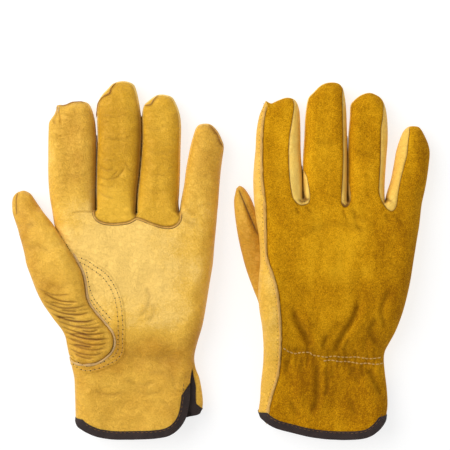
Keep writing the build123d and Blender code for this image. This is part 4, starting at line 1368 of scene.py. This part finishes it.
# ---- Thumbs ----------------------------------------------------------------------------------------
LEFT_THUMB_FOLDS = [
    # Wrinkles across the base
    (51, 1.05, 0.66, 0.95, [
        [(-66, -22), (-54, -28), (-40, -29)], [(-67, -27), (-54, -33), (-42, -33), (-34, -31)],
        [(-64, -32), (-52, -37), (-40, -38), (-31, -36)], [(-61, -37), (-48, -42), (-36, -43), (-27, -41)],
        [(-58, -41.5), (-46, -46), (-34, -47.5), (-22, -46.5)],
        [(-55, -46), (-44, -50), (-32, -52), (-19.5, -50.5)],
        [(-52.5, -50), (-41, -54), (-30, -55.5), (-19, -55)],
        [(-50.5, -54), (-40, -58), (-28, -59.5), (-19, -58)],
        [(-49, -58.5), (-38, -62), (-28, -63), (-20, -61)],
        [(-48, -62.5), (-38, -66), (-28, -66.5), (-23, -64.5)], [(-44, -66), (-36, -69), (-30, -69)],
        [(-52, -35), (-46, -35.5), (-41, -35.6)], [(-38, -49.5), (-31, -50), (-26, -48.5)],
        [(-44, -59.5), (-36, -60.5), (-31, -61)]]),
    # Shorter ones between them
    (53, 0.65, 0.6, 0.65, [
        [(-69, -19), (-58, -24), (-46, -23.5)], [(-60, -29), (-50, -31), (-44, -31)],
        [(-56, -40), (-48, -40), (-42, -41)], [(-42, -46), (-34, -45.6), (-26, -44)],
        [(-47, -56), (-42, -56.4), (-36, -58)], [(-46, -52), (-38, -52), (-30, -54)],
        [(-40, -35), (-34, -34), (-31, -33)]]),
    # Soft bends of the thumb itself
    (52, 0.4, 2.0, 0.2, [
        [(-76, 8), (-68, 10), (-60, 6)], [(-78, 24), (-72, 27)], [(-66, -14), (-56, -18), (-46, -16)]]),
]
left_seam = smooth([(-85, 49.5), (-85.6, 41), (-85, 32)])
right_seam = smooth([(-77.2, 51.5), (-73.3, 42), (-68.2, 29.7), (-62.6, 17)])
left_thumb = add_thumb(left, LEFT_THUMB, folds(LEFT_THUMB_FOLDS) + [(left_seam, 0.5, 0.8, 0.7)])
right_thumb = add_thumb(right, RIGHT_THUMB, [(right_seam, 1.0, 1.1, 0.8)])

# ---- Seams, edges and stitching ---------------------------------------------------------------------
# Each seam's cord or thread has a half width and a half height, after its look and its name
seam_work(left, [gunn], "gold_edge", "gunn_raw_edge", 0.5, 0.5, sink=-0.05, offset=0.85)
# painted shadow: a thin dark cord under the raw edge of the seam
seam_work(left, [gunn], "dark_thread_and_shadow_line", "gunn_line", 0.17, 0.14, offset=1.5)
seam_work(left, [divider], "dark_thread_and_shadow_line", "gunn_thread", 0.2, 0.2)
seam_work(left, tips, "tip_edge", "tip_raw_edge", 0.55, 0.5, sink=-0.05, offset=-0.45)
pucker = [smooth(line) for line in (
    [(-57.9, 103.2), (-56.6, 106.4), (-57.2, 110.4)], [(-56, 104.6), (-55.2, 107.6), (-55.6, 110.9)],
    [(-58.2, 108.6), (-56.2, 109.4), (-54.4, 108.2)])]
seam_work(left, pucker, "raw", "index_tip_edge", 0.5, 0.55, sink=-0.1)
rim = Strands()
rim.cord(left, beside(oval, -1.25)[0], 0.85, 0.6, sink=-0.35, seed=6)
add_strands(rim, "thumb_raw_edge", left, "hand", "raw")

# The patch's rows of stitches, whose threads lie sunk between the needle holes
rows = [smooth([
    (-41.4, 2.7), (-34.2, 0.1), (-28.2, -3.9), (-21, -9.1), (-16.4, -15.1), (-12.8, -22.3), (-10.3, -30.5),
    (-9.3, -39.6), (-9, -47.8), (-9.3, -56), (-9.7, -64.1), (-12.8, -69.2), (-18, -72.7), (-26.1, -76.3),
    (-34.2, -77.9), (-40.4, -76.3), (-45.5, -72.4)], ROW_STEP)]
rows += beside(rows[0], 3.2)[:1]
rows += [smooth(line, ROW_STEP) for line in (
    [(-35.2, -5), (-33.4, -14), (-31.7, -21.8), (-28.7, -27.9), (-24, -33.5), (-16.4, -42.2)],
    [(-33.2, -25.3), (-26.6, -34.5), (-21.5, -40.6), (-16.9, -46.2)])]
holes, threads = Strands(), Strands()
for row in rows:
    threads.stitches(left, row, pitch=3.3, length=2.4, radius=0.2, sink=-0.42)
    # dark dots, raised on the patch, painted for the holes' shade
    holes.stitches(left, row[3:], pitch=3.3, length=0.85, radius=0.5, sink=-0.3)
add_strands(threads, "patch_thread", left, "hand", "thread")
add_strands(holes, "patch_needle_holes", left, "hand", "hole")

seam_work(
    right, [wrap[4:]], "gold_edge", "wrap_raw_edge", 1.0, 0.5, sink=-0.05, offset=0.95
)
walls = [index_wall, middle_wall, ring_wall, wrap[5:]]
# painted shadow: thin dark cords along the seams' grooves
seam_work(right, walls, "dark_thread_and_shadow_line", "seam_thread", 0.17, 0.17, sink=0.02)
cream = Strands()
for row in (upper_row, lower_row):
    cream.stitches(right, row, pitch=2.9, length=2.5, radius=0.42, sink=-0.1)
add_strands(cream, "wrist_stitches", right, "hand", "thread")
edge_rows = {}
for part, run in split_by_bend(right, beside(wrap, 2.6)[0]):
    edge_rows.setdefault(part, Strands()).stitches(right, run, pitch=3.0, length=1.0, radius=0.14)
for part, strands in edge_rows.items():
    add_strands(strands, f"wrap_stitches_{part}", right, part, "dark_thread_and_shadow_line")
for glove in (left, right):
    hem = Strands()
    row = beside(glove.bound["top"], BINDING - 1.1)[0]
    hem.stitches(glove, row, pitch=3.1, length=2.3, radius=0.22, sink=-0.75)
    add_strands(hem, "hem_stitches", glove, "hand", "dark_thread_and_shadow_line")

side_ridge(left, "index", 37, 90)
side_ridge(left, "middle", 35, 104)
side_ridge(right, "middle", 43, 90)
side_ridge(right, "index", 44.5, 68)
for thumb, line, look in ((right_thumb, right_seam, "dark_thread_and_shadow_line"), (left_thumb, left_seam, "tip_edge")):
    seam = Strands()
    seam.cord(thumb, line, 0.4, 0.35, sink=0.1, seed=9)
    add_strands(seam, "thumb_seam", thumb.glove, "thumb", look)


# ---- Floor, light and camera --------------------------------------------------------------------------
def area_light(name, location, size, power):
    """A round soft light that faces the gloves."""
    data = bpy.data.lights.new(name, "AREA")
    data.shape, data.size, data.energy = "DISK", size, power
    lamp = bpy.data.objects.new(name, data)
    lamp.location = location
    lamp.rotation_euler = (-Vector(location)).to_track_quat("-Z", "Y").to_euler()
    bpy.context.scene.collection.objects.link(lamp)


bpy.ops.mesh.primitive_plane_add(size=FLOOR_SIZE, location=(0, 0, 0))
floor = bpy.context.object
floor.name = "floor"
paper = bpy.data.materials.new("floor_look")
paper.use_nodes = True
bsdf = paper.node_tree.nodes["Principled BSDF"]
bsdf.inputs["Base Color"].default_value = (0.35, 0.35, 0.35, 1)
bsdf.inputs["Roughness"].default_value = 1.0
bsdf.inputs["Emission Color"].default_value = (1, 1, 1, 1)  # a light table, as shadows are all but gone
bsdf.inputs["Emission Strength"].default_value = FLOOR_GLOW
floor.data.materials.append(paper)

world = bpy.data.worlds.new("studio")
world.use_nodes = True
world.node_tree.nodes["Background"].inputs["Color"].default_value = (1, 1, 1, 1)
world.node_tree.nodes["Background"].inputs["Strength"].default_value = WORLD
bpy.context.scene.world = world
area_light("key", (-1.2, 0.62, 1.25), 2.2, KEY)
area_light("fill", (0.9, -0.5, 1.6), 1.4, FILL)

bpy.context.scene.view_settings.view_transform = "Standard"
middle = (cad_box[0] + cad_box[1]) / 2
data = bpy.data.cameras.new("camera")
data.lens = LENS
camera = bpy.data.objects.new("camera", data)
camera.location = (middle.x + AIM[0], middle.y + AIM[1], CAMERA_HEIGHT)
bpy.context.scene.collection.objects.link(camera)
bpy.context.scene.camera = camera
